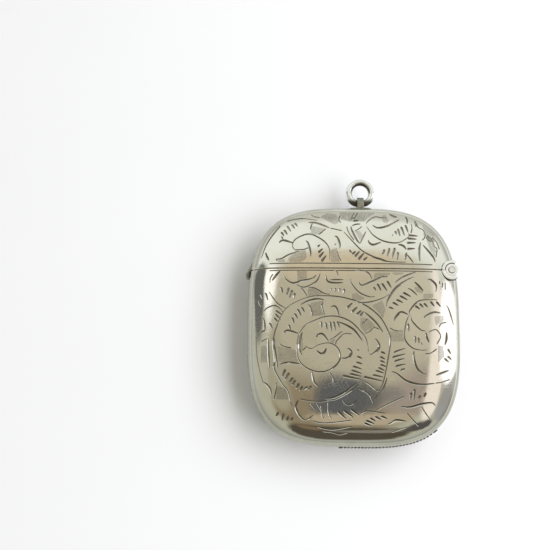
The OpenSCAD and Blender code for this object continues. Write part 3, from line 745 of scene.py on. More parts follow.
class Bench:
    """Blender's own modelling tools, as short verbs on one object."""

    UPRIGHT = 0.9
    DOUBLED = 1e-7
    SMOOTH_ANGLE = 40.0

    @staticmethod
    def deselect() -> None:
        """Leave nothing selected, so that an operator acts only on what is added next."""
        bpy.ops.object.select_all(action="DESELECT")

    @staticmethod
    def take(obj: Object) -> Object:
        """Make one object the only one selected and the active one.

        Args:
            obj: The object.

        Returns:
            The same object.
        """
        Bench.deselect()
        obj.select_set(True)
        bpy.context.view_layer.objects.active = obj
        return obj

    @staticmethod
    def named(name: str) -> Object:
        """Name the object that was just added and set its place into its mesh.

        Args:
            name: The new name.

        Returns:
            The object.
        """
        obj = bpy.context.active_object
        obj.name = name
        obj.data.name = name
        bpy.ops.object.transform_apply(location=True, rotation=True, scale=True)
        return obj

    @staticmethod
    def from_points(name: str, points: np.ndarray, faces: Sequence[Sequence[int]]) -> Object:
        """Return a new object made of points and faces.

        Args:
            name: Name of the object.
            points: Places in millimetres, one row each.
            faces: Numbers of each face's points.

        Returns:
            The new object, selected and active.
        """
        mesh = bpy.data.meshes.new(name)
        mesh.from_pydata([tuple(p) for p in np.asarray(points) * MM], [], [tuple(f) for f in faces])
        obj = bpy.data.objects.new(name, mesh)
        bpy.context.scene.collection.objects.link(obj)
        return Bench.take(obj)

    @staticmethod
    def block(name: str, middle: Vector, size: Triple) -> Object:
        """Return a plain block that cuts a space into another piece.

        Args:
            name: Name of the block.
            middle: Its middle in millimetres.
            size: Its three sides in millimetres.

        Returns:
            The new object.
        """
        Bench.deselect()
        bpy.ops.mesh.primitive_cube_add(size=1, location=middle * MM)
        bpy.context.active_object.scale = tuple(side * MM for side in size)
        return Bench.named(name)

    @staticmethod
    def pick_ends(obj: Object) -> None:
        """In edit mode, select the two ends of an upright bar.

        Args:
            obj: The bar.
        """
        bpy.ops.mesh.select_mode(type="FACE")
        bpy.ops.mesh.select_all(action="DESELECT")
        mesh = bmesh.from_edit_mesh(obj.data)
        for face in mesh.faces:
            face.select_set(abs(face.normal.z) > Bench.UPRIGHT)
        mesh.select_flush_mode()
        bmesh.update_edit_mesh(obj.data)

    @staticmethod
    def move_points(obj: Object, place: Callable[[Vector], Vector]) -> None:
        """In edit mode, move every point.

        Args:
            obj: The object to reshape.
            place: Gives a point's new place from its old one, in millimetres.
        """
        mesh = bmesh.from_edit_mesh(obj.data)
        for vert in mesh.verts:
            vert.co = place(vert.co / MM) * MM
        bmesh.update_edit_mesh(obj.data)

    @staticmethod
    def extrude(obj: Object, way: Triple) -> None:
        """Extrude a flat shape into a closed solid.

        Args:
            obj: The flat shape.
            way: How far and which way, in millimetres.
        """
        bpy.ops.object.mode_set(mode="EDIT")
        bpy.ops.mesh.select_all(action="SELECT")
        move = {"value": tuple(step * MM for step in way)}
        bpy.ops.mesh.extrude_region_move(TRANSFORM_OT_translate=move)
        bpy.ops.object.mode_set(mode="OBJECT")
        Bench.outward(obj)

    @staticmethod
    def outward(obj: Object) -> None:
        """Merge doubled points and turn the faces of a closed mesh outwards.

        Args:
            obj: The object to mend.
        """
        Bench.take(obj)
        bpy.ops.object.mode_set(mode="EDIT")
        bpy.ops.mesh.select_all(action="SELECT")
        bpy.ops.mesh.remove_doubles(threshold=Bench.DOUBLED)
        bpy.ops.mesh.normals_make_consistent(inside=False)
        bpy.ops.object.mode_set(mode="OBJECT")

    @staticmethod
    def subtract(obj: Object, cutter: Object) -> None:
        """Cut one object out of another and throw the cutter away.

        Args:
            obj: The object that is cut.
            cutter: The object that cuts it.
        """
        Bench.take(obj)
        cut = obj.modifiers.new("cut", "BOOLEAN")
        cut.operation = "DIFFERENCE"
        cut.solver = "MANIFOLD"
        cut.object = cutter
        bpy.ops.object.modifier_apply(modifier=cut.name)
        bpy.data.objects.remove(cutter)

    @staticmethod
    def round_edges(obj: Object, width: float, segments: int = 3, angle: float = 35.0) -> None:
        """Round the sharp edges and shade the piece smooth where its faces run on.

        Args:
            obj: The piece.
            width: Width of the rounding in millimetres.
            segments: Faces across the rounding.
            angle: Least angle of a sharp edge in degrees.
        """
        Bench.take(obj)
        bevel = obj.modifiers.new("round", "BEVEL")
        bevel.width = width * MM
        bevel.segments = segments
        bevel.limit_method = "ANGLE"
        bevel.angle_limit = math.radians(angle)
        bevel.use_clamp_overlap = True
        bpy.ops.object.modifier_apply(modifier=bevel.name)
        bpy.ops.object.shade_smooth_by_angle(angle=math.radians(Bench.SMOOTH_ANGLE))

    @staticmethod
    def dress(obj: Object, *materials: Material) -> None:
        """Give an object its materials.

        Args:
            obj: The object.
            *materials: Its materials in the order of its slots.
        """
        # Clearing would set every face back to the first slot, so an object without materials is left alone
        if obj.data.materials:
            obj.data.materials.clear()
        for material in materials:
            obj.data.materials.append(material)

    @staticmethod
    def fit(obj: Object, body: str, slot: str, *nodes: str) -> None:
        """Hang a finished piece on its body in place of its nodes.

        Args:
            obj: The piece.
            body: The body that it rides on.
            slot: The piece's material slot; not used.
            *nodes: The nodes that it stands for.
        """
        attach(obj, body)
        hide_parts(*nodes)
        LOG.info("%s: %d faces, on %s", obj.name, len(obj.data.polygons), body)


@dataclass
class EngravedShell:
    """A silver shell of the case: the body or the lid, both halves in one skin."""

    name: str  # Name of the piece
    body: str  # The body that it rides on
    nodes: tuple[str, ...]  # The nodes that it stands for
    far: int  # -1 for a shell that closes at the base, 1 for one that closes at the top
    rim_y: float  # Height of its rim at the seam
    strokes: tuple[Stroke, ...]
    grounds: tuple[Ground, ...]
    columns: int  # Faces along the shell's side, from seam to seam
    form: CaseForm = CaseForm()
    wall: float = 0.6  # Thickness of the sheet
    edge_break: float = 0.11  # Width of the broken edge at the rim
    shoulder: float = 0.955  # Share of the outline at which the engraved face ends
    side_rows: int = 14  # Rows of faces from the shoulder to the parting plane
    seam_points: int = 56  # Points along the seam on each face
    inner_rows: int = 18  # Rows of faces inside
    seam_clear: float = 0.12  # Least distance from the broken edge to a cut
    shoulder_clear: float = 0.012  # Least distance from the shoulder to a cut, as a share of the outline
    end_angle: float = 1.2  # How far short of the closed end the last inner row lies, in degrees
    follow: float = 0.8  # Least likeness of a face's way to the form's for it to be shaded as the form
    points: list[np.ndarray] = field(default_factory=list)  # The shell's points so far
    faces: list[tuple[int, ...]] = field(default_factory=list)  # Its faces so far
    kinds: list[int] = field(default_factory=list)  # What each face is

    @property
    def edge_y(self) -> float:
        """Height at which the outer skin stops and the broken edge begins."""
        return self.rim_y + self.far * self.edge_break

    def build(self) -> Object:
        """Return the closed shell with its engraving, before the hinge's window is cut.

        Returns:
            The new object, not yet dressed.
        """
        patch = self._patch()
        front = self._add(self._lifted(patch, 1))
        back = self._add(self._lifted(patch, -1))
        kinds = patch.kinds()
        for start in (front, back):
            for face, kind in zip(patch.faces, kinds):
                self._face([start + k for k in face], kind)
        self._mouth(self._side(patch.outline, front, back))
        obj = Bench.from_points(self.name, np.vstack(self.points), self.faces)
        obj.data.polygons.foreach_set("material_index", self.kinds)
        Bench.outward(obj)
        return obj

    def _add(self, points: np.ndarray) -> int:
        """Add points.

        Args:
            points: Places in millimetres, one row each.

        Returns:
            The first one's number.
        """
        first = sum(len(p) for p in self.points)
        self.points.append(np.asarray(points, float))
        return first

    def _face(self, corners: Sequence[int], kind: Face) -> None:
        """Add a face of one kind."""
        self.faces.append(tuple(corners))
        self.kinds.append(kind.value)

    def _turns(self, share: float) -> np.ndarray:
        """Return the angles of the columns, from the seam at the hinge side to the other.

        Args:
            share: How far out their loop lies, as a share of the outline.

        Returns:
            One angle for each column's edge.
        """
        start = self.form.turn_at(share, self.edge_y)
        stop = math.pi - start if self.far > 0 else -math.pi - start
        return np.linspace(start, stop, self.columns + 1)

    def _patch(self) -> EngravedPatch:
        """Return the engraved face laid flat.

        Returns:
            The patch from the seam to the shoulder.
        """
        loop = self.form.plan(self.shoulder, self._turns(self.shoulder))
        corner = loop[0, 0]
        xs = np.linspace(-corner, corner, self.seam_points + 2)[1:-1]
        seam = np.stack([xs, np.full(len(xs), self.edge_y)], 1)

        def inside(spots: np.ndarray) -> np.ndarray:
            """Tell which spots lie clear of the seam and of the shoulder.

            Args:
                spots: Places on the plan.

            Returns:
                True or false for each spot.
            """
            clear = self.far * (spots[:, 1] - self.edge_y) > self.seam_clear
            share = self.form.share(spots[:, 0], spots[:, 1])
            return clear & (share < self.shoulder - self.shoulder_clear)

        return Engraver(inside).carve(np.vstack([loop, seam]), self.strokes, self.grounds)

    def _lifted(self, patch: EngravedPatch, side: int) -> np.ndarray:
        """Return the patch's points lifted onto a face of the case.

        Args:
            patch: The engraved face laid flat.
            side: 1 for the front, -1 for the back, which mirrors it.

        Returns:
            The places in millimetres, one row each.
        """
        x, y = patch.points[:, 0] * side, patch.points[:, 1]
        skin = np.stack([x, y, self.form.mid_z + side * self.form.rise(x, y)], 1)
        skin[:, 2] = np.maximum(skin[:, 2], 0)
        return skin - self.form.normals(skin) * patch.depth[:, None]

    def _side(self, outline: list[int], front: int, back: int) -> list[int]:
        """Add the rows from the two shoulders to the parting plane.

        Args:
            outline: Which points of the patch make its outline.
            front: Number of the front face's first point.
            back: Number of the back face's first point.

        Returns:
            The closed loop of points along the seam, from the hinge side over the front.
        """
        count = self.columns + 1
        rows = {1: [[front + k for k in outline[:count]]], -1: [[back + k for k in outline[:count]][::-1]]}
        power = self.form.face_power / 2
        steep = math.acos(self.shoulder**power)
        for k in range(1, self.side_rows + 1):
            lean = steep * (1 - k / self.side_rows) ** 2
            share = math.cos(lean) ** (1 / power)
            plan = self.form.plan(share, self._turns(share))
            height = self.form.half_t * math.sin(lean) ** (1 / power)
            first = None
            for side in (1, -1):
                if first is None or k < self.side_rows:
                    level = np.full(count, self.form.mid_z + side * height)
                    first = self._add(np.column_stack([plan, level]))
                rows[side].append(list(range(first, first + count)))
        for side in (1, -1):
            for a, b in zip(rows[side], rows[side][1:]):
                for j in range(self.columns):
                    self._face((a[j], a[j + 1], b[j + 1], b[j]), Face.SKIN)
        seam = outline[count:][::-1]
        over = [row[0] for row in rows[1][::-1]] + [front + k for k in seam]
        down = [row[-1] for row in rows[1]] + [row[-1] for row in rows[-1][-2::-1]]
        return over + down + [back + k for k in seam] + [row[0] for row in rows[-1][:-1]]

    def _mouth(self, seam: list[int]) -> None:
        """Add the broken edge, the rim, the inner wall and its closed end.

        Args:
            seam: Numbers of the points round the mouth.
        """
        skin = np.vstack(self.points)[seam]
        across = np.clip(skin[:, 0] / self.form.side_x(self.edge_y), -1, 1)
        side = np.where(skin[:, 2] >= self.form.mid_z, 1, -1)

        def loop(depth: float, y: float) -> list[int]:
            """Add a loop like the seam's.

            Args:
                depth: How far it lies under the skin.
                y: Its height.

            Returns:
                The numbers of its points.
            """
            form = self.form.inset(depth)
            x = across * form.side_x(y)
            height = form.rise(x, np.full(len(x), y))
            height[np.abs(across) > 1 - TINY] = 0
            first = self._add(np.column_stack([x, np.full(len(x), y), form.mid_z + side * height]))
            return list(range(first, first + len(x)))

        inner = self.form.inset(self.wall)
        start = math.acos(min(1, self.far * self.edge_y / inner.half_h))
        loops = [seam, loop(self.edge_break, self.rim_y), loop(self.wall - self.edge_break, self.rim_y)]
        kinds = [Face.EDGE, Face.EDGE, Face.EDGE]
        for angle in np.linspace(start, math.radians(self.end_angle), self.inner_rows):
            loops.append(loop(self.wall, self.far * inner.half_h * math.cos(angle)))
            kinds.append(Face.INSIDE)
        for a, b, kind in zip(loops, loops[1:], kinds):
            for k in range(len(seam)):
                n = (k + 1) % len(seam)
                self._face((a[k], a[n], b[n], b[k]), kind)
        end = self._add(np.array([[0, self.far * inner.half_h, inner.mid_z]]))
        for k in range(len(seam)):
            self._face((loops[-1][k], loops[-1][(k + 1) % len(seam)], end), Face.INSIDE)

    def finish_normals(self, obj: Object) -> None:
        """Shade the skin and the inside as the true form, and the cuts as crisp facets.

        Args:
            obj: The shell with its windows cut.
        """
        mesh = obj.data

        def read(items: bpy.types.bpy_prop_collection, key: str, kind: type, width: int = 1) -> np.ndarray:
            """Read one property of every item.

            Args:
                items: The items.
                key: Name of the property.
                kind: Type of its numbers.
                width: How many numbers it has.

            Returns:
                The numbers, as rows where there are several for each item.
            """
            values = np.zeros(len(items) * width, kind)
            items.foreach_get(key, values)
            return values if width == 1 else values.reshape(-1, width)

        corner_vert = read(mesh.loops, "vertex_index", np.int32)
        places = read(mesh.vertices, "co", float, 3) / MM
        sizes = read(mesh.polygons, "loop_total", np.int32)
        corner_flat = np.repeat(read(mesh.polygons, "normal", float, 3), sizes, axis=0)
        corner_kind = np.repeat(read(mesh.polygons, "material_index", np.int32), sizes)
        on_skin = corner_kind == Face.SKIN.value
        on_form = on_skin | (corner_kind == Face.INSIDE.value)
        skin = self.form.normals(places)[corner_vert]
        inside = -self.form.inset(self.wall).normals(places)[corner_vert]
        curved = np.where(on_skin[:, None], skin, inside)
        follows = (curved * corner_flat).sum(1) > self.follow
        normals = np.where((follows & on_form)[:, None], curved, corner_flat)
        mesh.polygons.foreach_set("use_smooth", np.ones(len(mesh.polygons), bool))
        mesh.normals_split_custom_set(normals.tolist())
        mesh.update()


class NodeSheet:
    """A node tree with short verbs to add and join its nodes."""

    def __init__(self, tree: NodeTree) -> None:
        """Work on a tree.

        Args:
            tree: The node tree of a material, a group or the world.
        """
        self.tree = tree

    def add(self, kind: str, **settings: object) -> Node:
        """Add a node of a kind, with settings of its own and values for its inputs.

        Args:
            kind: Blender's name of the node.
            **settings: Properties, or inputs by their name in small letters with _ for a space.

        Returns:
            The new node.
        """
        node = self.tree.nodes.new(kind)
        for key, value in settings.items():
            if hasattr(node, key):
                setattr(node, key, value)
            else:
                self.socket(node, key).default_value = value
        return node

    @staticmethod
    def socket(node: Node, key: str) -> NodeSocket:
        """Return an input of a node.

        Args:
            node: The node.
            key: Name of the input in small letters with _ for a space.

        Returns:
            The first such input that is in use.
        """
        for found in node.inputs:
            if found.enabled and found.name.lower().replace(" ", "_") == key:
                return found
        raise KeyError(f"{node.name} has no input {key}")

    def join(self, start: NodeSocket, end: NodeSocket) -> None:
        """Join an output to an input."""
        self.tree.links.new(start, end)

    def give(self, entry: NodeSocket, value: object) -> None:
        """Give an input what it reads.

        Args:
            entry: The input.
            value: Another node's output, a number or a colour.
        """
        if isinstance(value, NodeSocket):
            self.join(value, entry)
        elif isinstance(value, tuple):
            entry.default_value = (*value, 1.0)
        else:
            entry.default_value = value

    def use(self, group: NodeTree, place: NodeSocket, **values: float) -> NodeSocket:
        """Place a shader group.

        Args:
            group: The group.
            place: The output that gives the place on the surface.
            **values: Values for its inputs that aren't the usual ones.

        Returns:
            The group's output.
        """
        node = self.add("ShaderNodeGroup", node_tree=group, **values)
        self.join(place, node.inputs["Place"])
        return node.outputs[0]

    def noise(self, place: NodeSocket, scale: object, detail: float, roughness: float = 0.5) -> NodeSocket:
        """Add a cloudy noise.

        Args:
            place: The output that gives the place on the surface.
            scale: Its fineness, a number or another output.
            detail: How many finer layers it has.
            roughness: How much the finer layers show.

        Returns:
            The noise, from 0 to 1.
        """
        node = self.add("ShaderNodeTexNoise", detail=detail, roughness=roughness)
        self.join(place, node.inputs["Vector"])
        self.give(node.inputs["Scale"], scale)
        return node.outputs["Fac"]

    def math(self, operation: str, *values: object) -> NodeSocket:
        """Add a sum.

        Args:
            operation: Blender's name of the sum.
            *values: Numbers or other outputs.

        Returns:
            The output of the sum.
        """
        node = self.add("ShaderNodeMath", operation=operation)
        for value, entry in zip(values, node.inputs):
            self.give(entry, value)
        return node.outputs[0]

    def ramp(self, value: NodeSocket, low: float, high: float) -> NodeSocket:
        """Add a soft step.

        Args:
            value: The output that it reads.
            low: Where it is 0.
            high: Where it is 1.

        Returns:
            The output of the step.
        """
        node = self.add("ShaderNodeMapRange", interpolation_type="SMOOTHSTEP", from_min=low, from_max=high)
        self.join(value, node.inputs["Value"])
        return node.outputs["Result"]

    def blend(self, share: object, first: object, second: object) -> NodeSocket:
        """Add a blend of two colours.

        Args:
            share: Share of the second colour, a number or an output.
            first: A colour or an output.
            second: A colour or an output.

        Returns:
            The output of the blend.
        """
        node = self.add("ShaderNodeMix", data_type="RGBA")
        in_use = [entry for entry in node.inputs if entry.enabled]
        for value, entry in zip((share, first, second), in_use):
            self.give(entry, value)
        return next(leave for leave in node.outputs if leave.enabled)


def shader_group(name: str, inputs: dict[str, float], outputs: Sequence[str]) -> tuple[NodeSheet, dict, dict]:
    """Start a shader group that reads a place and some values and puts out values.

    Args:
        name: Name of the group.
        inputs: Its value inputs with their usual values.
        outputs: Names of its value outputs.

    Returns:
        The sheet of the group, its inputs by name and its outputs by name.
    """
    tree = bpy.data.node_groups.new(name, "ShaderNodeTree")
    tree.interface.new_socket("Place", in_out="INPUT", socket_type="NodeSocketVector")
    for key, value in inputs.items():
        tree.interface.new_socket(key, in_out="INPUT", socket_type="NodeSocketFloat").default_value = value
    for key in outputs:
        tree.interface.new_socket(key, in_out="OUTPUT", socket_type="NodeSocketFloat")
    sheet = NodeSheet(tree)
    entry = sheet.add("NodeGroupInput")
    leave = sheet.add("NodeGroupOutput")
    return sheet, {s.name: s for s in entry.outputs}, {s.name: s for s in leave.inputs}


def tarnish_group() -> NodeTree:
    """Return the group that gives cloudy patches of tarnish.

    Returns:
        The new group.
    """
    fine_scale = 6.0
    fine_share = 0.35
    patch_edge = (0.40, 0.66)
    sheet, given, out = shader_group("tarnish_clouds", {"Scale": 120.0}, ["Mask"])
    finer = sheet.math("MULTIPLY", given["Scale"], fine_scale)
    wide = sheet.noise(given["Place"], given["Scale"], detail=5.0, roughness=0.62)
    fine = sheet.noise(given["Place"], finer, detail=4.0, roughness=0.6)
    both = sheet.math("MULTIPLY_ADD", fine, fine_share, sheet.math("MULTIPLY", wide, 1 - fine_share))
    sheet.join(sheet.ramp(both, *patch_edge), out["Mask"])
    return sheet.tree


def scratch_group() -> NodeTree:
    """Return the group that gives fine hairline marks from handling, in three directions.

    Returns:
        The new group.
    """
    tilt = (0.2, 0.1)
    through = 5.0
    mark_edge = (0.60, 0.70)
    sheet, given, out = shader_group("handling_marks", {"Scale": 5200.0}, ["Marks"])
    total = None
    for turn, stretch in ((0.5, 45.0), (1.7, 33.0), (2.6, 55.0)):
        mapping = sheet.add("ShaderNodeMapping", vector_type="TEXTURE")
        mapping.inputs["Rotation"].default_value = (*tilt, turn)
        mapping.inputs["Scale"].default_value = (1.0, stretch, through)
        sheet.join(given["Place"], mapping.inputs["Vector"])
        marks = sheet.ramp(sheet.noise(mapping.outputs["Vector"], given["Scale"], detail=2.0), *mark_edge)
        total = marks if total is None else sheet.math("MAXIMUM", total, marks)
    sheet.join(total, out["Marks"])
    return sheet.tree


def hand_group() -> NodeTree:
    """Return the group that gives the slow unevenness of hand-worked sheet.

    Returns:
        The new group.
    """
    sheet, given, out = shader_group("hand_worked", {"Scale": 95.0}, ["Height"])
    sheet.join(sheet.noise(given["Place"], given["Scale"], detail=1.5, roughness=0.4), out["Height"])
    return sheet.tree


def side_shade_group() -> NodeTree:
    """Return the group that marks the narrow sides between the two faces, where the metal takes painted
    shade.

    Returns:
        The new group.
    """
    side_edge, side_core = 4.3, 3.3
    sheet, given, out = shader_group("narrow_sides", {}, ["Mask"])
    split = sheet.add("ShaderNodeSeparateXYZ")
    sheet.join(given["Place"], split.inputs["Vector"])
    height = sheet.math("MULTIPLY_ADD", split.outputs["Z"], 1 / MM, -CaseForm.mid_z)
    sheet.join(sheet.ramp(sheet.math("ABSOLUTE", height), side_edge, side_core), out["Mask"])
    return sheet.tree


def about(sheet: NodeSheet, place: NodeSocket, middle: Vector) -> tuple[NodeSocket, ...]:
    """Measure a place from an upright axis.

    Args:
        sheet: The sheet to work on.
        place: The output that gives the place.
        middle: A place on the axis.

    Returns:
        How far the place lies across, along and away from the axis, in millimetres.
    """
    split = sheet.add("ShaderNodeSeparateXYZ")
    sheet.join(place, split.inputs["Vector"])
    across = sheet.math("MULTIPLY_ADD", split.outputs["X"], 1 / MM, -middle.x)
    along = sheet.math("MULTIPLY_ADD", split.outputs["Y"], 1 / MM, -middle.y)
    away = sheet.math("MULTIPLY_ADD", across, across, sheet.math("MULTIPLY", along, along))
    return across, along, sheet.math("SQRT", away)


def ring_group(middle: Vector, radius: float) -> NodeTree:
    """Return the group that marks painted shade, with some grime, inside a ring and where it bears on its
    eye.

    Args:
        middle: Middle of the ring.
        radius: Radius of the ring's middle line.

    Returns:
        The new group.
    """
    inner_side = (radius - 0.2, radius - 0.5)
    upper_half = (-0.8, 0.6)
    at_eye = (1.2 - radius, 0.3 - radius)
    sheet, given, out = shader_group("ring_grime", {}, ["Mask"])
    _, along, away = about(sheet, given["Place"], middle)
    # Painted shade: the inner side of the upper half, and the bottom where the ring bears on the eye, darken
    inside = sheet.math("MULTIPLY", sheet.ramp(away, *inner_side), sheet.ramp(along, *upper_half))
    sheet.join(sheet.math("MAXIMUM", inside, sheet.ramp(along, *at_eye)), out["Mask"])
    return sheet.tree


def hinge_group(middle: Vector, pin_r: float, barrel_r: float, lug_r: float) -> NodeTree:
    """Return the group that marks painted shade, with some grime, in a hinge's joints, and a painted shadow
    on the walls of its lugs.

    Args:
        middle: A place on the hinge's axis.
        pin_r: Radius of the pin.
        barrel_r: Radius of the knuckles.
        lug_r: Radius of the lugs.

    Returns:
        The new group.
    """
    joint_off = 0.06
    shade_line_width = 0.13
    upper_half = (-0.25, 0.0)
    lower_left = (0.2, -0.3)
    lug_wall_shadow = (lug_r - 0.06, lug_r - 0.01)
    sheet, given, out = shader_group("hinge_grime", {}, ["Mask"])
    across, along, away = about(sheet, given["Place"], middle)

    def circle(radius: float, side: NodeSocket) -> NodeSocket:
        """Return a fine dark circle of painted shade, with some grime, that shows on one side."""
        off = sheet.math("ABSOLUTE", sheet.math("SUBTRACT", away, radius))
        return sheet.math("MULTIPLY", sheet.ramp(off, shade_line_width, 0.5 * shade_line_width), side)

    joint = circle(barrel_r + joint_off, sheet.ramp(along, *upper_half))
    pin_edge = circle(pin_r, sheet.ramp(sheet.math("ADD", across, along), *lower_left))
    # Painted shadow: the walls of the lugs darken all round
    wall = sheet.ramp(away, *lug_wall_shadow)
    sheet.join(sheet.math("MAXIMUM", wall, sheet.math("MAXIMUM", joint, pin_edge)), out["Mask"])
    return sheet.tree


class Effects:
    """The shader groups that several finishes share."""

    def __init__(self) -> None:
        """Build each group once."""
        self.tarnish = tarnish_group()
        self.scratches = scratch_group()
        self.hand = hand_group()
        # The narrow sides darken with painted shade, standing for the shadowed floor that they mirror
        self.sides = side_shade_group()


@dataclass(frozen=True)
class MetalFinish:
    """A metal surface with tarnish, handling marks and the unevenness of hand work."""

    name: str  # Name of the material
    bright: Triple  # Colour of the clean metal
    dull: Triple  # Colour of its tarnish
    tarnish: float  # How much of the tarnish shows
    cloud_scale: float = 120.0  # Fineness of the tarnish's patches
    gloss: float = 0.16  # Roughness of the clean metal
    dull_gloss: float = 0.34  # Roughness where it is tarnished or marked
    wave: float = 0.05  # Height of the unevenness in millimetres
    marks: float = 0.0012  # Depth of the handling marks in millimetres
    mark_wear: float = 0.4  # How far a handling mark roughens the metal
    frost: float = 0.0  # How far the surface is matt white rather than bright
    # The two dark colours of painted shade, with some tarnish and grime, where a mask lays it on
    shade_tones: tuple[Triple, Triple] = ((0.42, 0.425, 0.345), (0.35, 0.35, 0.275))

    def material(self, effects: Effects, painted_shade: NodeTree | None = None) -> Material:
        """Return the finish as a material.

        Args:
            effects: The shared shader groups.
            painted_shade: The group that marks where the metal takes the dark colours of painted shade.

        Returns:
            The new material.
        """
        material = bpy.data.materials.new(self.name)
        material.use_nodes = True
        sheet = NodeSheet(material.node_tree)
        metal = material.node_tree.nodes["Principled BSDF"]
        metal.inputs["Metallic"].default_value = 1.0 - self.frost
        place = sheet.add("ShaderNodeTexCoord").outputs["Object"]
        clouds = sheet.use(effects.tarnish, place, scale=self.cloud_scale)
        marks = sheet.use(effects.scratches, place)
        wave = sheet.use(effects.hand, place)
        colour = sheet.blend(sheet.math("MULTIPLY", clouds, self.tarnish), self.bright, self.dull)
        # Painted shade: where the mask says, the colour darkens to the shade tones
        if painted_shade:
            colour = sheet.blend(sheet.use(painted_shade, place), colour, sheet.blend(clouds, *self.shade_tones))
        sheet.join(colour, metal.inputs["Base Color"])
        worn = sheet.math("MAXIMUM", clouds, sheet.math("MULTIPLY", marks, self.mark_wear))
        rough = sheet.math("MULTIPLY_ADD", worn, self.dull_gloss - self.gloss, self.gloss)
        sheet.join(rough, metal.inputs["Roughness"])
        swell = sheet.add("ShaderNodeBump", strength=1.0, distance=self.wave * MM)
        sheet.join(wave, swell.inputs["Height"])
        fine = sheet.add("ShaderNodeBump", strength=1.0, distance=self.marks * MM, invert=True)
        sheet.join(marks, fine.inputs["Height"])
        sheet.join(swell.outputs["Normal"], fine.inputs["Normal"])
        sheet.join(fine.outputs["Normal"], metal.inputs["Normal"])
        return material


# Dark colours of painted shade, with some grime, for the hinge, the pin and the ring
SHADE_AND_GRIME: tuple[Triple, Triple] = ((0.16, 0.15, 0.13), (0.08, 0.072, 0.06))
# Its narrow sides take the default shade tones: painted shade, with some tarnish
SILVER = MetalFinish(
    "old_silver", (0.93, 0.91, 0.86), (0.74, 0.67, 0.53),
    tarnish=0.3, cloud_scale=90.0, gloss=0.035, dull_gloss=0.08, wave=0.03,
)
CUT_SILVER = MetalFinish(
    "engraved_cut", (0.33, 0.30, 0.25), (0.09, 0.077, 0.06),
    tarnish=0.65, cloud_scale=400.0, gloss=0.2, dull_gloss=0.4, wave=0.0, marks=0.0,
)
# Painted highlight: a bright copy of the cut's metal for the facets of deep cuts that face one fixed way
PAINTED_HIGHLIGHT_CUT = MetalFinish(
    "bright_cut", (0.82, 0.81, 0.77), (0.55, 0.52, 0.44),
    tarnish=0.5, cloud_scale=400.0, gloss=0.12, dull_gloss=0.25, wave=0.0, marks=0.0,
)
GILT = MetalFinish(
    "worn_gilt", (0.86, 0.66, 0.34), (0.72, 0.62, 0.48),
    tarnish=0.7, cloud_scale=180.0, gloss=0.25, dull_gloss=0.4,
)
STRIKER_METAL = MetalFinish(
    "struck_metal", (0.30, 0.28, 0.25), (0.09, 0.08, 0.07),
    tarnish=0.8, cloud_scale=600.0, gloss=0.35, dull_gloss=0.6, wave=0.0,
)
SPRING_STEEL = MetalFinish(
    "blued_spring", (0.34, 0.37, 0.44), (0.30, 0.24, 0.20),
    tarnish=0.5, cloud_scale=300.0, gloss=0.25, dull_gloss=0.45,
)
PIN_WIRE = MetalFinish(
    "pin_wire", (0.90, 0.90, 0.88), (0.60, 0.58, 0.53),
    tarnish=0.4, cloud_scale=700.0, gloss=0.3, dull_gloss=0.45, wave=0.0, frost=0.35, shade_tones=SHADE_AND_GRIME,
)
HINGE_SILVER = MetalFinish(
    "hinge_silver", (0.95, 0.955, 0.955), (0.76, 0.74, 0.67),
    tarnish=0.4, cloud_scale=500.0, gloss=0.3, dull_gloss=0.42, wave=0.0, frost=0.4, shade_tones=SHADE_AND_GRIME,
)
FITTING = MetalFinish(
    "fitting_silver", (0.92, 0.90, 0.85), (0.55, 0.49, 0.39),
    tarnish=0.4, cloud_scale=260.0, gloss=0.12, dull_gloss=0.25, wave=0.01,
)
# Painted shade: the pad, staple and thumb piece are coloured dark for the shadow round them, with some
# tarnish
SHADED_FOOT = MetalFinish(
    "soldered_foot", (0.43, 0.42, 0.37), (0.14, 0.13, 0.108),
    tarnish=0.8, cloud_scale=900.0, gloss=0.3, dull_gloss=0.5, wave=0.01,
)
RING_SILVER = MetalFinish(
    "ring_silver", (0.97, 0.98, 1.0), (0.8, 0.8, 0.79),
    tarnish=0.25, cloud_scale=420.0, gloss=0.05, dull_gloss=0.14, wave=0.01, marks=0.0, frost=0.16,
    shade_tones=SHADE_AND_GRIME,
)


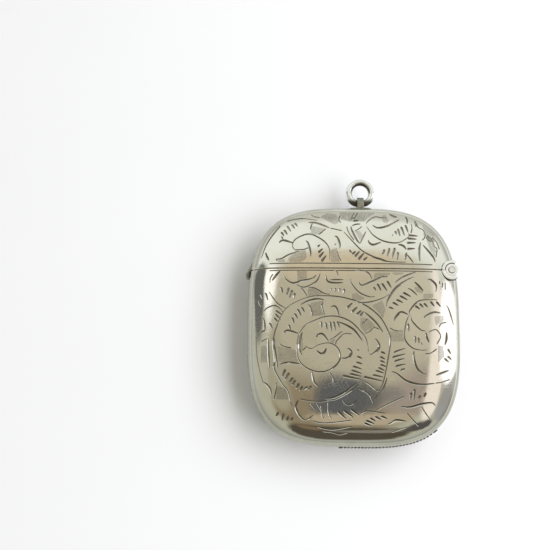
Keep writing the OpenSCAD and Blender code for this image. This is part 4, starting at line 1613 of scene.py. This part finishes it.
@dataclass
class Hinge:
    """The side hinge: three knuckles on a pin, in lugs on the body and on the lid."""

    axis: Vector  # Place of the axis, with the height of the parting plane
    half: float  # Half the length of the hinge
    barrel_r: float = 1.3  # Radius of the knuckles
    lug_r: float = 2.05
    window_r: float = 2.1  # Radius of the window cut into the shells
    pin_r: float = 0.66
    bore_r: float = 0.69  # Radius of the hole in a knuckle
    lid_half: float = 1.6  # Half the length of the lid's knuckle
    knuckle_gap: float = 0.1
    turn_gap: float = 0.13  # Room around a knuckle that turns past a lug
    seam_half: float = 0.06  # Half the gap at the seam
    solder: float = 0.02  # Gap filled by a line of solder
    edge: float = 0.04  # Width of the rounded edges
    pin_short: float = 0.04  # How far the pin's ends lie inside the knuckles' ends
    pin_dome: float = 0.12  # Width of the rounding at the pin's ends
    pin_rings: Point = (0.25, 0.35)  # Widths of the two rings filed into its ends, as shares of its radius
    spring_side: float = 0.4  # How far from the axis the room for the spring begins
    body_stop: float = 308.0  # Angle at which the body's lug ends, in degrees
    lid_start: float = 62.0  # Angle at which the lid's lug begins, in degrees
    sides: int = 72  # Faces round a bar
    lug_steps: int = 28  # Faces round a lug

    def cylinder(self, name: str, radius: float, low: float, high: float) -> Object:
        """Return a plain round bar on the axis.

        Args:
            name: Name of the bar.
            radius: Its radius.
            low: Height of its lower end over the parting plane.
            high: Height of its upper end over the parting plane.

        Returns:
            The new object.
        """
        Bench.deselect()
        spot = self.axis + Vector((0, 0, (low + high) / 2))
        bpy.ops.mesh.primitive_cylinder_add(
            vertices=self.sides, radius=radius * MM, depth=(high - low) * MM, location=spot * MM
        )
        return Bench.named(name)

    def window_cutter(self) -> Object:
        """Return the round bar that cuts the hinge's window into a shell."""
        return self.cylinder("window_cutter", self.window_r, -2 * self.half, 2 * self.half)

    def knuckle(self, name: str, low: float, high: float) -> Object:
        """Return a knuckle: a bar with its ends inset, opened and bridged into a bore.

        Args:
            name: Name of the piece.
            low: Height of its lower end over the parting plane.
            high: Height of its upper end over the parting plane.

        Returns:
            The knuckle with rounded edges.
        """
        obj = self.cylinder(name, self.barrel_r, low, high)
        bpy.ops.object.mode_set(mode="EDIT")
        Bench.pick_ends(obj)
        bpy.ops.mesh.inset(thickness=(self.barrel_r - self.bore_r) * MM)
        bpy.ops.mesh.delete(type="FACE")
        bpy.ops.mesh.select_mode(type="EDGE")
        bpy.ops.mesh.select_all(action="DESELECT")
        bpy.ops.mesh.select_non_manifold()
        bpy.ops.mesh.bridge_edge_loops()
        bpy.ops.object.mode_set(mode="OBJECT")
        Bench.outward(obj)
        Bench.round_edges(obj, self.edge)
        return obj

    def pin(self) -> Object:
        """Return the pin, its ends filed to a low dome.

        Returns:
            The new object.
        """
        reach = self.half - self.pin_short
        obj = self.cylinder("hinge_pin_wire", self.pin_r, -reach, reach)
        bpy.ops.object.mode_set(mode="EDIT")
        Bench.pick_ends(obj)
        for ring in self.pin_rings:
            bpy.ops.mesh.inset(thickness=ring * self.pin_r * MM)
        bpy.ops.object.mode_set(mode="OBJECT")
        Bench.round_edges(obj, self.pin_dome, 4)
        return obj

    def lug(self, name: str, start: float, stop: float, cutters: list[Object]) -> Object:
        """Return a fan-shaped lug between two angles, cut clear of the knuckles that turn in it.

        Args:
            name: Name of the piece.
            start: Angle of its first edge in degrees.
            stop: Angle of its last edge in degrees.
            cutters: Bars and blocks to cut out of it.

        Returns:
            The lug with rounded edges.
        """
        turns = np.radians(np.linspace(start, stop, self.lug_steps + 1))
        rim = np.stack([np.cos(turns), np.sin(turns)], 1)
        plan = np.vstack([rim * self.lug_r, rim[::-1] * (self.barrel_r + self.solder)])
        centre = np.array(self.axis[:2])
        low = np.column_stack([plan + centre, np.full(len(plan), self.axis.z - self.half)])
        last = len(plan) - 1
        strip = [(k, k + 1, last - k - 1, last - k) for k in range(self.lug_steps)]
        obj = Bench.from_points(name, low, strip)
        Bench.extrude(obj, (0, 0, 2 * self.half))
        for cutter in cutters:
            Bench.subtract(obj, cutter)
        Bench.round_edges(obj, self.edge, 2)
        return obj

    def build(self, silver: Material, wire: Material) -> None:
        """Build the hinge's pieces, dress them and hang them on their bodies.

        Args:
            silver: Finish of the knuckles and lugs.
            wire: Finish of the pin.
        """
        inner = self.lid_half + self.knuckle_gap
        free = self.barrel_r + self.turn_gap
        slip = math.degrees(math.asin(self.seam_half / self.lug_r))
        middle = self.cylinder("middle_cutter", free, -inner, inner)
        aside = Vector((self.axis.x - self.lug_r - self.spring_side, self.axis.y, self.axis.z))
        room = Bench.block("spring_room", aside, (2 * self.lug_r, 4 * self.lug_r, 2 * inner))
        body_lug = self.lug("body_lug", 180 + slip, self.body_stop, [middle, room])
        ends = [
            self.cylinder("end_cutter", free, low, high)
            for low, high in ((-2 * self.half, -self.lid_half), (self.lid_half, 2 * self.half))
        ]
        lid_lug = self.lug("lid_lug", self.lid_start, 180 - slip, ends)
        pieces = (
            (body_lug, "case", "silver", "body_joint_bearer"),
            (self.knuckle("knuckle_front", inner, self.half), "case", "silver", "body_knuckle_front"),
            (self.knuckle("knuckle_rear", -self.half, -inner), "case", "silver", "body_knuckle_rear"),
            (self.pin(), "case", "pin_wire", "hinge_pin"),
            (lid_lug, "lid", "silver", "lid_joint_bearer"),
            (self.knuckle("knuckle_lid", -self.lid_half, self.lid_half), "lid", "silver", "lid_knuckle"),
        )
        for obj, body, slot, node in pieces:
            Bench.dress(obj, wire if slot == "pin_wire" else silver)
            Bench.fit(obj, body, slot, node)


@dataclass
class MouthCollar:
    """The gilt collar soldered inside the body's mouth, which the lid closes over."""

    form: CaseForm
    low: float  # Height of its lower edge
    high: float  # Height of its upper edge
    end_x: float  # Where it stops short of the hinge
    gap: float = 0.76  # How far its outside lies inside the outer form
    thickness: float = 0.35
    columns: int = 140  # Faces along it
    rows: int = 8  # Faces up it
    lip: float = 0.1  # Width of its rounded edges

    def build(self, gilt: Material) -> None:
        """Build the collar as a bent strip, thicken it inwards and round its lip.

        Args:
            gilt: Its finish.
        """
        outside = self.form.inset(self.gap)
        points = []
        for y in np.linspace(self.low, self.high, self.rows + 1):
            width = outside.side_x(y)
            start = math.acos((self.end_x / width) ** (outside.face_power / 2))
            turns = np.linspace(start, 2 * math.pi - start, self.columns + 1)
            x = width * np.sign(np.cos(turns)) * np.abs(np.cos(turns)) ** (2 / outside.face_power)
            height = np.sign(np.sin(turns)) * outside.rise(x, np.full(len(x), y))
            points.append(np.column_stack([x, np.full(len(x), y), outside.mid_z + height]))
        across = self.columns + 1
        faces = [
            (r * across + k, r * across + k + 1, (r + 1) * across + k + 1, (r + 1) * across + k)
            for r in range(self.rows)
            for k in range(self.columns)
        ]
        obj = Bench.from_points("mouth_collar_strip", np.vstack(points), faces)
        thick = obj.modifiers.new("sheet", "SOLIDIFY")
        thick.thickness = self.thickness * MM
        thick.offset = -1.0
        Bench.outward(obj)
        centre = sum((v.co for v in obj.data.vertices), Vector()) / len(obj.data.vertices)
        face = obj.data.polygons[len(obj.data.polygons) // 2]
        if face.normal.dot(face.center - centre) < 0:
            thick.offset = 1.0
        bpy.ops.object.modifier_apply(modifier=thick.name)
        Bench.outward(obj)
        Bench.round_edges(obj, self.lip)
        Bench.dress(obj, gilt)
        Bench.fit(obj, "case", "gilt", "mouth_collar")


@dataclass
class Striker:
    """The ribbed strip let into the base, on which matches are struck."""

    form: CaseForm
    middle: float = 7.0  # Where its middle lies across the base
    length: float = 20.0
    width: float = 2.6
    thickness: float = 0.8
    proud: float = 0.2  # How far it stands out of the base
    pitch: float = 0.7  # Distance from rib to rib
    cut: float = 0.28  # Depth of the cuts between the ribs
    mouth: float = 0.38  # Half the width of a cut at its top, in pitches
    root: float = 0.05  # Half the width of a cut at its bottom, in pitches
    margin: float = 1.2  # Length without cuts at both ends together
    play: float = 0.05  # Gap around it in its slot
    edge: float = 0.025  # Width of the rounded edges
    sharp: float = 25.0  # Least angle of an edge that is rounded, in degrees

    def slot_cutter(self) -> Object:
        """Return the block that cuts the striker's slot into the base.

        Returns:
            The new object.
        """
        spot = Vector((self.middle, -0.75 * self.form.half_h, self.form.mid_z))
        size = (self.length + 2 * self.play, self.form.half_h, self.width + 2 * self.play)
        return Bench.block("slot_cutter", spot, size)

    def _at(self, x: float, depth: float) -> Vector:
        """Return a place on or in the strip.

        Args:
            x: Where across the base.
            depth: How deep under the strip's outer curve, square to it.

        Returns:
            The place, with no height over the table yet.
        """
        curve = self.form.inset(-self.proud)
        y = -curve.top_y(x, curve.mid_z)
        normal = curve.normals(np.array([[x, y, curve.mid_z]]))[0]
        return Vector((x - normal[0] * depth, y - normal[1] * depth, 0))

    def build(self, metal: Material) -> None:
        """Build the strip from a grid whose columns follow the ribs and the base's curve.

        Args:
            metal: Its finish.
        """
        ends = self.length / 2
        count = int((self.length - self.margin) / self.pitch / 2)
        notch = ((-self.mouth, 0.0), (-self.root, self.cut), (self.root, self.cut), (self.mouth, 0.0))
        profile = [(-ends, 0.0)]
        for k in range(-count, count + 1):
            for shift, depth in notch:
                profile.append(((k + shift) * self.pitch, depth))
        profile.append((ends, 0.0))
        Bench.deselect()
        bpy.ops.mesh.primitive_grid_add(x_subdivisions=len(profile) - 1, y_subdivisions=2, size=2)
        obj = Bench.named("striker_ribs")
        bpy.ops.object.mode_set(mode="EDIT")
        bpy.ops.mesh.select_all(action="SELECT")
        bpy.ops.mesh.extrude_region_move(TRANSFORM_OT_translate={"value": (0, 0, -1)})

        def placed(spot: Vector) -> Vector:
            """Put a point of the plain grid where the strip has it.

            Args:
                spot: The point on the grid.

            Returns:
                Its place on the strip.
            """
            column = round((spot.x * MM + 1) / 2 * (len(profile) - 1))
            x, cut = profile[column]
            place = self._at(self.middle + x, cut if spot.z * MM > -0.5 else self.thickness)
            place.z = self.form.mid_z + spot.y * MM * self.width / 2
            return place

        Bench.move_points(obj, placed)
        bpy.ops.object.mode_set(mode="OBJECT")
        Bench.outward(obj)
        Bench.round_edges(obj, self.edge, 2, self.sharp)
        Bench.dress(obj, metal)
        Bench.fit(obj, "case", "striker", "striker_strip")


@dataclass
class LidFittings:
    """What is soldered to the lid: the thumb piece, and the pad and staple that hold the ring."""

    form: CaseForm
    seam: float  # Height of the lid's rim
    nib_low: float  # Height of the thumb piece's tip, below the rim
    nib_x: float  # How far out the thumb piece reaches, short of its rounded tip
    eye: Vector  # Middle of the staple's eye
    eye_r: float = 0.97
    nib_len: float = 3.6  # Length of the thumb piece through the case
    nib_rise: float = 1.6  # How far up the lid the thumb piece runs out
    nib_r: float = 0.4  # Radius of its tip
    nib_clear: float = 0.14  # Gap between its tip and the body
    nib_arc: Point = (270.0, 160.0)  # Angles between which its tip is round, in degrees
    nib_points: int = 9  # Points on that round
    pad_len: float = 5.2
    pad_w: float = 3.2
    pad_t: float = 0.35
    staple_w: float = 1.4  # Width of the staple's band
    staple_t: float = 0.45  # Thickness of the staple's band
    staple_sink: float = 0.04  # How far the staple's foot lies under the pad's top, in the pad's curve
    edge: float = 0.1  # Width of the rounded edges of the thumb piece and the staple
    pad_edge: float = 0.12  # Width of the pad's rounded edge
    pad_rings: Point = (0.22, 0.45)  # Widths of two rings of faces inside the pad's edge
    sides: int = 64  # Faces round the pad and round the eye

    def thumb_piece(self) -> Object:
        """Return the thumb piece: a wedge whose rounded tip reaches over the seam, clear of the body.

        Returns:
            The new object.
        """
        low, top = self.nib_low, self.seam + self.nib_rise
        turns = np.radians(np.linspace(*self.nib_arc, self.nib_points))
        tip = np.stack([self.nib_x + self.nib_r * np.cos(turns), low + self.nib_r * (1 + np.sin(turns))], 1)
        lid_x, top_x, low_x = (-self.form.side_x(y) for y in (self.seam, top, low))
        upper = [(top_x - self.edge, top), (top_x + self.nib_r, top), (lid_x + self.nib_r, self.seam)]
        under = [(lid_x - self.nib_clear, self.seam), (low_x - self.nib_clear, low)]
        plan = np.vstack([tip, upper, under])
        bottom = np.column_stack([plan, np.full(len(plan), self.form.mid_z - self.nib_len / 2)])
        obj = Bench.from_points("thumb_nib", bottom, [range(len(plan))])
        Bench.extrude(obj, (0, 0, self.nib_len))
        Bench.round_edges(obj, self.edge)
        return obj

    def pad(self) -> Object:
        """Return the pad under the staple, bent to the lid's top.

        Returns:
            The new object.
        """
        Bench.deselect()
        straight = (self.pad_len - self.pad_w) / 2
        bpy.ops.mesh.primitive_circle_add(vertices=self.sides, radius=self.pad_w / 2 * MM, fill_type="NGON")
        obj = Bench.named("ring_pad_plate")
        bpy.ops.object.mode_set(mode="EDIT")
        Bench.move_points(obj, lambda spot: spot + Vector((math.copysign(straight, spot.x), 0, 0)))
        bpy.ops.mesh.select_all(action="SELECT")
        for ring in self.pad_rings:
            bpy.ops.mesh.inset(thickness=ring * MM)
        bpy.ops.mesh.select_all(action="SELECT")
        bpy.ops.mesh.extrude_region_move(TRANSFORM_OT_translate={"value": (0, 0, self.pad_t * MM)})

        def bent(spot: Vector) -> Vector:
            """Put a point of the flat pad on the lid's top."""
            x, z = self.eye.x + spot.x, self.form.mid_z + spot.y
            return Vector((x, self.form.top_y(x, z) + spot.z, z))

        Bench.move_points(obj, bent)
        bpy.ops.object.mode_set(mode="OBJECT")
        Bench.outward(obj)
        Bench.round_edges(obj, self.pad_edge)
        return obj

    def staple(self) -> Object:
        """Return the staple: a bent band whose eye the ring passes through.

        Returns:
            The new object.
        """
        foot = self.form.half_h + self.pad_t - self.staple_sink - self.eye.y
        outer_r = self.eye_r + self.staple_t
        count = self.sides
        turns = np.radians(np.arange(count) * 360 / count)
        ring = np.stack([np.cos(turns), np.sin(turns)], 1)
        outer = ring * outer_r
        below = outer[:, 0] < 0
        outer[below] *= (outer_r / np.abs(outer[below]).max(axis=1))[:, None]
        outer[:, 0] = np.maximum(outer[:, 0], foot)
        flat = np.vstack([outer, ring * self.eye_r])
        start = self.eye.x - self.staple_w / 2
        spots = np.column_stack([np.full(len(flat), start), flat[:, 0] + self.eye.y, flat[:, 1] + self.eye.z])
        faces = [(k, (k + 1) % count, count + (k + 1) % count, count + k) for k in range(count)]
        obj = Bench.from_points("ring_staple_band", spots, faces)
        Bench.extrude(obj, (self.staple_w, 0, 0))
        Bench.round_edges(obj, self.edge)
        return obj

    def build(self, shaded_finish: Material) -> None:
        """Build the fittings, dress them and hang them on the lid.

        Args:
            shaded_finish: Their finish, dark with painted shade, with some tarnish.
        """
        for obj, node in (
            (self.thumb_piece(), "thumb_piece"),
            (self.pad(), "ring_pad"),
            (self.staple(), "ring_staple"),
        ):
            Bench.dress(obj, shaded_finish)
            Bench.fit(obj, "lid", "silver", node)


@dataclass
class SuspensionRing:
    """The ring that swings in the staple, worn thin where it bears."""

    eye: Vector  # Middle of the staple's eye
    radius: float = 2.45  # Radius of the wire's middle line
    wire_r: float = 0.75
    wear: float = 0.12  # How much of the wire is worn away at the eye
    wear_power: int = 12  # How narrow the worn stretch is
    wire_sides: int = 32  # Faces round the wire
    steps: int = 96  # Faces along the wire

    @property
    def middle(self) -> Vector:
        """Middle of the ring as it stands up from the eye."""
        return self.eye + Vector((0, self.radius, 0))

    def build(self, silver: Material) -> None:
        """Build the ring: the wire's round section spun about the ring's middle.

        Args:
            silver: Its finish.
        """
        centre = self.middle
        Bench.deselect()
        spot = centre + Vector((self.radius, 0, 0))
        bpy.ops.mesh.primitive_circle_add(
            vertices=self.wire_sides, radius=self.wire_r * MM,
            location=spot * MM, rotation=(math.pi / 2, 0, 0),
        )
        obj = Bench.named("wire_ring")
        bpy.ops.object.mode_set(mode="EDIT")
        bpy.ops.mesh.select_all(action="SELECT")
        bpy.ops.mesh.spin(steps=self.steps, angle=math.tau, center=centre * MM, axis=(0, 0, 1))

        def worn(place: Vector) -> Vector:
            """Draw a point in towards the wire's middle where the ring bears on the eye.

            Args:
                place: The point on the even wire.

            Returns:
                Its place on the worn wire.
            """
            away = place - centre
            flat = Vector((away.x, away.y, 0))
            share = max(0.0, -flat.normalized().y) ** self.wear_power
            middle = flat.normalized() * self.radius
            return centre + middle + (away - middle) * (1 - self.wear * share)

        Bench.move_points(obj, worn)
        bpy.ops.object.mode_set(mode="OBJECT")
        Bench.outward(obj)
        bpy.ops.object.shade_smooth()
        Bench.dress(obj, silver)
        Bench.fit(obj, "ring", "silver", "suspension_ring")


@dataclass(frozen=True)
class FloorFinish:
    """A matt pale floor with a faint unevenness of tone."""

    name: str = "pale_floor"  # Name of the material
    pale: Triple = (0.90, 0.905, 0.96)  # Its lighter colour
    dim: Triple = (0.88, 0.885, 0.94)  # Its darker colour
    gloss: float = 0.75  # Its roughness
    shine: float = 0.2  # Its specular level
    cloud_scale: float = 30.0  # Fineness of its unevenness
    cloud_detail: float = 3.0  # Detail of its unevenness

    def material(self) -> Material:
        """Return the finish as a material.

        Returns:
            The new material.
        """
        material = bpy.data.materials.new(self.name)
        material.use_nodes = True
        sheet = NodeSheet(material.node_tree)
        surface = material.node_tree.nodes["Principled BSDF"]
        surface.inputs["Roughness"].default_value = self.gloss
        surface.inputs["Specular IOR Level"].default_value = self.shine
        place = sheet.add("ShaderNodeTexCoord").outputs["Object"]
        clouds = sheet.noise(place, self.cloud_scale, self.cloud_detail)
        sheet.join(sheet.blend(clouds, self.dim, self.pale), surface.inputs["Base Color"])
        return material


@dataclass(frozen=True)
class SoftShape:
    """A soft shape in the surroundings that the silver mirrors."""

    spot: Point  # Share of its direction along X and along Y
    reach: Point  # Half its width and half its height, as such shares
    colour: Triple  # Its light
    soft: float = 0.4  # Share of its reach over which it fades


SURROUNDINGS: tuple[SoftShape, ...] = (
    SoftShape((0.08, 0.93), (0.55, 0.19), (0.58, 0.595, 0.535), 0.4),
    SoftShape((0.0, 0.08), (0.41, 0.23), (0.47, 0.437, 0.328), 0.2),
    SoftShape((0.01, 0.285), (0.21, 0.055), (0.61, 0.525, 0.375), 0.5),
    SoftShape((-0.11, -0.25), (0.36, 0.30), (0.28, 0.232, 0.153), 0.25),
    SoftShape((-0.31, -0.06), (0.15, 0.22), (0.385, 0.365, 0.27), 0.25),
    SoftShape((0.30, -0.10), (0.17, 0.17), (0.357, 0.305, 0.26), 0.25),
    SoftShape((0.0, -0.68), (0.36, 0.25), (0.085, 0.075, 0.055), 0.16),
    SoftShape((-0.10, -0.52), (0.10, 0.05), (0.21, 0.15, 0.09), 0.33),
    SoftShape((0.16, -0.56), (0.12, 0.05), (0.26, 0.24, 0.20), 0.33),
    SoftShape((0.13, -0.29), (0.20, 0.09), (0.45, 0.385, 0.275), 0.2),
    SoftShape((0.46, -0.54), (0.18, 0.13), (0.09, 0.083, 0.078), 0.2),
    SoftShape((0.80, -0.28), (0.20, 0.26), (0.347, 0.344, 0.339), 0.2),
    SoftShape((0.475, -0.05), (0.115, 0.36), (0.90, 0.83, 0.74), 0.2),
    SoftShape((0.78, 0.10), (0.27, 0.16), (1.3, 1.3, 1.3), 0.1),
    SoftShape((-0.72, 0.25), (0.22, 0.13), (0.135, 0.138, 0.128), 0.13),
    SoftShape((-0.41, 0.24), (0.13, 0.08), (1.15, 1.15, 1.1), 0.3),
    SoftShape((0.27, 0.20), (0.15, 0.09), (0.56, 0.525, 0.405), 0.5),
    SoftShape((0.14, -0.04), (0.06, 0.05), (0.24, 0.225, 0.20), 0.4),
    SoftShape((0.0, -0.155), (0.04, 0.055), (0.15, 0.145, 0.14), 0.35),
    SoftShape((0.055, -0.075), (0.068, 0.13), (0.11, 0.115, 0.118), 0.22),
)


@dataclass
class Studio:
    """The floor, the soft light round the case and the camera."""

    upper: Triple = (0.82, 0.85, 0.78)  # Light of the surroundings on the lid's side
    lower: Triple = (0.457, 0.456, 0.365)  # Light of the surroundings on the base's side
    horizon: Triple = (0.50, 0.515, 0.48)  # Light of the surroundings near the floor
    lid_side: Point = (0.1, 0.42)  # Where the lower light ends and the upper light is full, as shares along Y
    low_side: Point = (0.55, 0.2)  # Where the light near the floor begins and is full, as shares along Z
    floor_size: float = 4.0  # Side of the floor in metres
    key_power: float = 3.3  # Power of the large soft light over the floor, in watts
    key_spot: Triple = (0.34, 0.02, 0.42)  # Its place in metres
    key_size: Point = (0.8, 0.4)  # Its width and height in metres
    azimuth: float = 2.557  # Angle of the camera about the upright, in degrees
    elevation: float = 78.151  # Angle of the camera over the floor, in degrees
    roll: float = -1.993  # Turn of the camera about its own axis, in degrees
    distance: float = 187.13  # Distance from the camera to the middle of the case
    focal_px: float = 893.56  # Focal length in pixels of the picture
    middle_px: Point = (352.65, 325.88)  # Where the middle of the case lies in the picture
    middle_z: float = 6.0  # Height of that middle over the table
    picture: float = 550.0  # Width and height of the picture in pixels
    sensor: float = 36.0  # Width of the camera's sensor
    near: float = 0.01  # Where the camera's view begins, in metres

    def build(self) -> None:
        """Set up the floor, the lights and the camera."""
        self._floor()
        self._world()
        self._key()
        self._camera()
        bpy.context.scene.view_settings.view_transform = "Standard"

    def _floor(self) -> None:
        """Lay the floor under the case."""
        Bench.deselect()
        bpy.ops.mesh.primitive_plane_add(size=self.floor_size)
        floor = Bench.named("floor")
        Bench.dress(floor, FloorFinish().material())

    def _world(self) -> None:
        """Make the surroundings: a pale side, a warm side and the soft shapes in them."""
        world = bpy.data.worlds.new("surroundings")
        world.use_nodes = True
        bpy.context.scene.world = world
        sheet = NodeSheet(world.node_tree)
        split = sheet.add("ShaderNodeSeparateXYZ")
        sheet.join(sheet.add("ShaderNodeTexCoord").outputs["Generated"], split.inputs["Vector"])
        x, y, z = split.outputs
        colour = sheet.blend(sheet.ramp(y, *self.lid_side), self.lower, self.upper)
        colour = sheet.blend(sheet.ramp(z, *self.low_side), colour, self.horizon)
        for shape in SURROUNDINGS:
            across = sheet.math("MULTIPLY_ADD", x, 1 / shape.reach[0], -shape.spot[0] / shape.reach[0])
            along = sheet.math("MULTIPLY_ADD", y, 1 / shape.reach[1], -shape.spot[1] / shape.reach[1])
            square = sheet.math("MULTIPLY_ADD", across, across, sheet.math("MULTIPLY", along, along))
            away = sheet.math("SQRT", square)
            colour = sheet.blend(sheet.ramp(away, 1 + shape.soft, 1 - shape.soft), colour, shape.colour)
        sheet.join(colour, world.node_tree.nodes["Background"].inputs["Color"])

    def _key(self) -> None:
        """Hang the large soft light that whitens the floor from the hinge's side."""
        spot = Vector(self.key_spot)
        light = bpy.data.lights.new("key", "AREA")
        light.shape = "RECTANGLE"
        light.size, light.size_y = self.key_size
        light.energy = self.key_power
        obj = bpy.data.objects.new("key", light)
        obj.matrix_world = Matrix.Translation(spot) @ (-spot).to_track_quat("-Z", "Y").to_matrix().to_4x4()
        obj.visible_glossy = False
        bpy.context.scene.collection.objects.link(obj)

    def _camera(self) -> None:
        """Place the camera so that the case lies in the picture as it does in the photograph."""
        az, el, roll = (math.radians(a) for a in (self.azimuth, self.elevation, self.roll))
        ahead = -Vector((math.sin(az) * math.cos(el), -math.cos(az) * math.cos(el), math.sin(el)))
        level = Vector((math.cos(az), math.sin(az), 0))
        above = level.cross(ahead)
        right = math.cos(roll) * level + math.sin(roll) * above
        up = math.cos(roll) * above - math.sin(roll) * level
        scale = self.distance / self.focal_px
        shift = right * (self.middle_px[0] - self.picture / 2) * scale
        shift -= up * (self.middle_px[1] - self.picture / 2) * scale
        spot = Vector((0, 0, self.middle_z)) - ahead * self.distance - shift
        data = bpy.data.cameras.new("camera")
        data.sensor_width = self.sensor
        data.lens = self.focal_px / self.picture * self.sensor
        data.clip_start = self.near
        camera = bpy.data.objects.new("camera", data)
        axes = Matrix((right, up, -ahead)).transposed().to_4x4()
        camera.matrix_world = Matrix.Translation(spot * MM) @ axes
        bpy.context.scene.collection.objects.link(camera)
        bpy.context.scene.camera = camera


def joint_place(name: str) -> Vector:
    """Return where a joint is.

    Args:
        name: Name of the joint.

    Returns:
        Its place in millimetres.
    """
    for joint in frame["record"]["behaviour"]["joints"]:
        if joint["name"] == name:
            return Vector(joint["pos_m"]) / MM
    raise KeyError(name)


def node_box(node: str) -> tuple[Vector, Vector]:
    """Return a node's lowest and highest corners in millimetres."""
    low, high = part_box(node)
    return Vector(low) / MM, Vector(high) / MM


def main() -> None:
    """Build the case piece by piece, then its light and camera."""
    logging.basicConfig(level=logging.INFO, format="%(name)s: %(message)s")
    effects = Effects()
    # The narrow sides darken with painted shade, standing for the shadowed floor that they mirror
    silver = SILVER.material(effects, effects.sides)
    cut = CUT_SILVER.material(effects)
    # The bright copy of the cut's metal, a painted highlight on one facet of deep cuts
    bright = PAINTED_HIGHLIGHT_CUT.material(effects)
    gilt = GILT.material(effects)
    fitting = FITTING.material(effects)
    form = CaseForm()
    lug_low, lug_high = node_box("body_joint_bearer")
    hinge = Hinge(joint_place("lid_hinge"), (lug_high.z - lug_low.z) / 2)
    striker = Striker(form)
    body = EngravedShell(
        "body_shell", "case", ("body_front_shell", "body_back_shell"),
        far=-1, rim_y=node_box("body_front_shell")[1].y,
        strokes=BODY_STROKES, grounds=BODY_GROUNDS, columns=180,
    )
    lid = EngravedShell(
        "lid_shell", "lid", ("lid_front_shell", "lid_back_shell"),
        far=1, rim_y=node_box("lid_front_shell")[0].y,
        strokes=LID_STROKES, grounds=LID_GROUNDS, columns=96,
    )
    for shell in (body, lid):
        obj = shell.build()
        Bench.dress(obj, silver, cut, gilt, fitting, bright)
        Bench.subtract(obj, hinge.window_cutter())
        if shell is body:
            Bench.subtract(obj, striker.slot_cutter())
        shell.finish_normals(obj)
        Bench.fit(obj, shell.body, "silver", *shell.nodes)
    # Painted shade in the hinge's joints and painted shadow on its lug walls
    joints = hinge_group(hinge.axis, hinge.pin_r, hinge.barrel_r, hinge.lug_r)
    hinge.build(HINGE_SILVER.material(effects, joints), PIN_WIRE.material(effects, joints))
    collar_low, collar_high = node_box("mouth_collar")
    MouthCollar(form, collar_low.y, collar_high.y, collar_high.x).build(gilt)
    striker.build(STRIKER_METAL.material(effects))
    nib_low = node_box("thumb_piece")[0]
    eye = joint_place("ring_swing")
    fittings = LidFittings(form, lid.rim_y, nib_low.y, nib_low.x + LidFittings.nib_r, eye)
    # The pad, staple and thumb piece take a dark finish that paints their shade
    fittings.build(SHADED_FOOT.material(effects))
    ring = SuspensionRing(eye)
    # The ring darkens with painted shade, with some grime, inside and at its foot
    ring.build(RING_SILVER.material(effects, ring_group(ring.middle, ring.radius)))
    for node, finish in (("lid_spring", SPRING_STEEL), ("spring_keeper", FITTING)):
        Bench.dress(frame["nodes"][node], finish.material(effects))
    Studio().build()


if __name__ == "__main__":
    main()
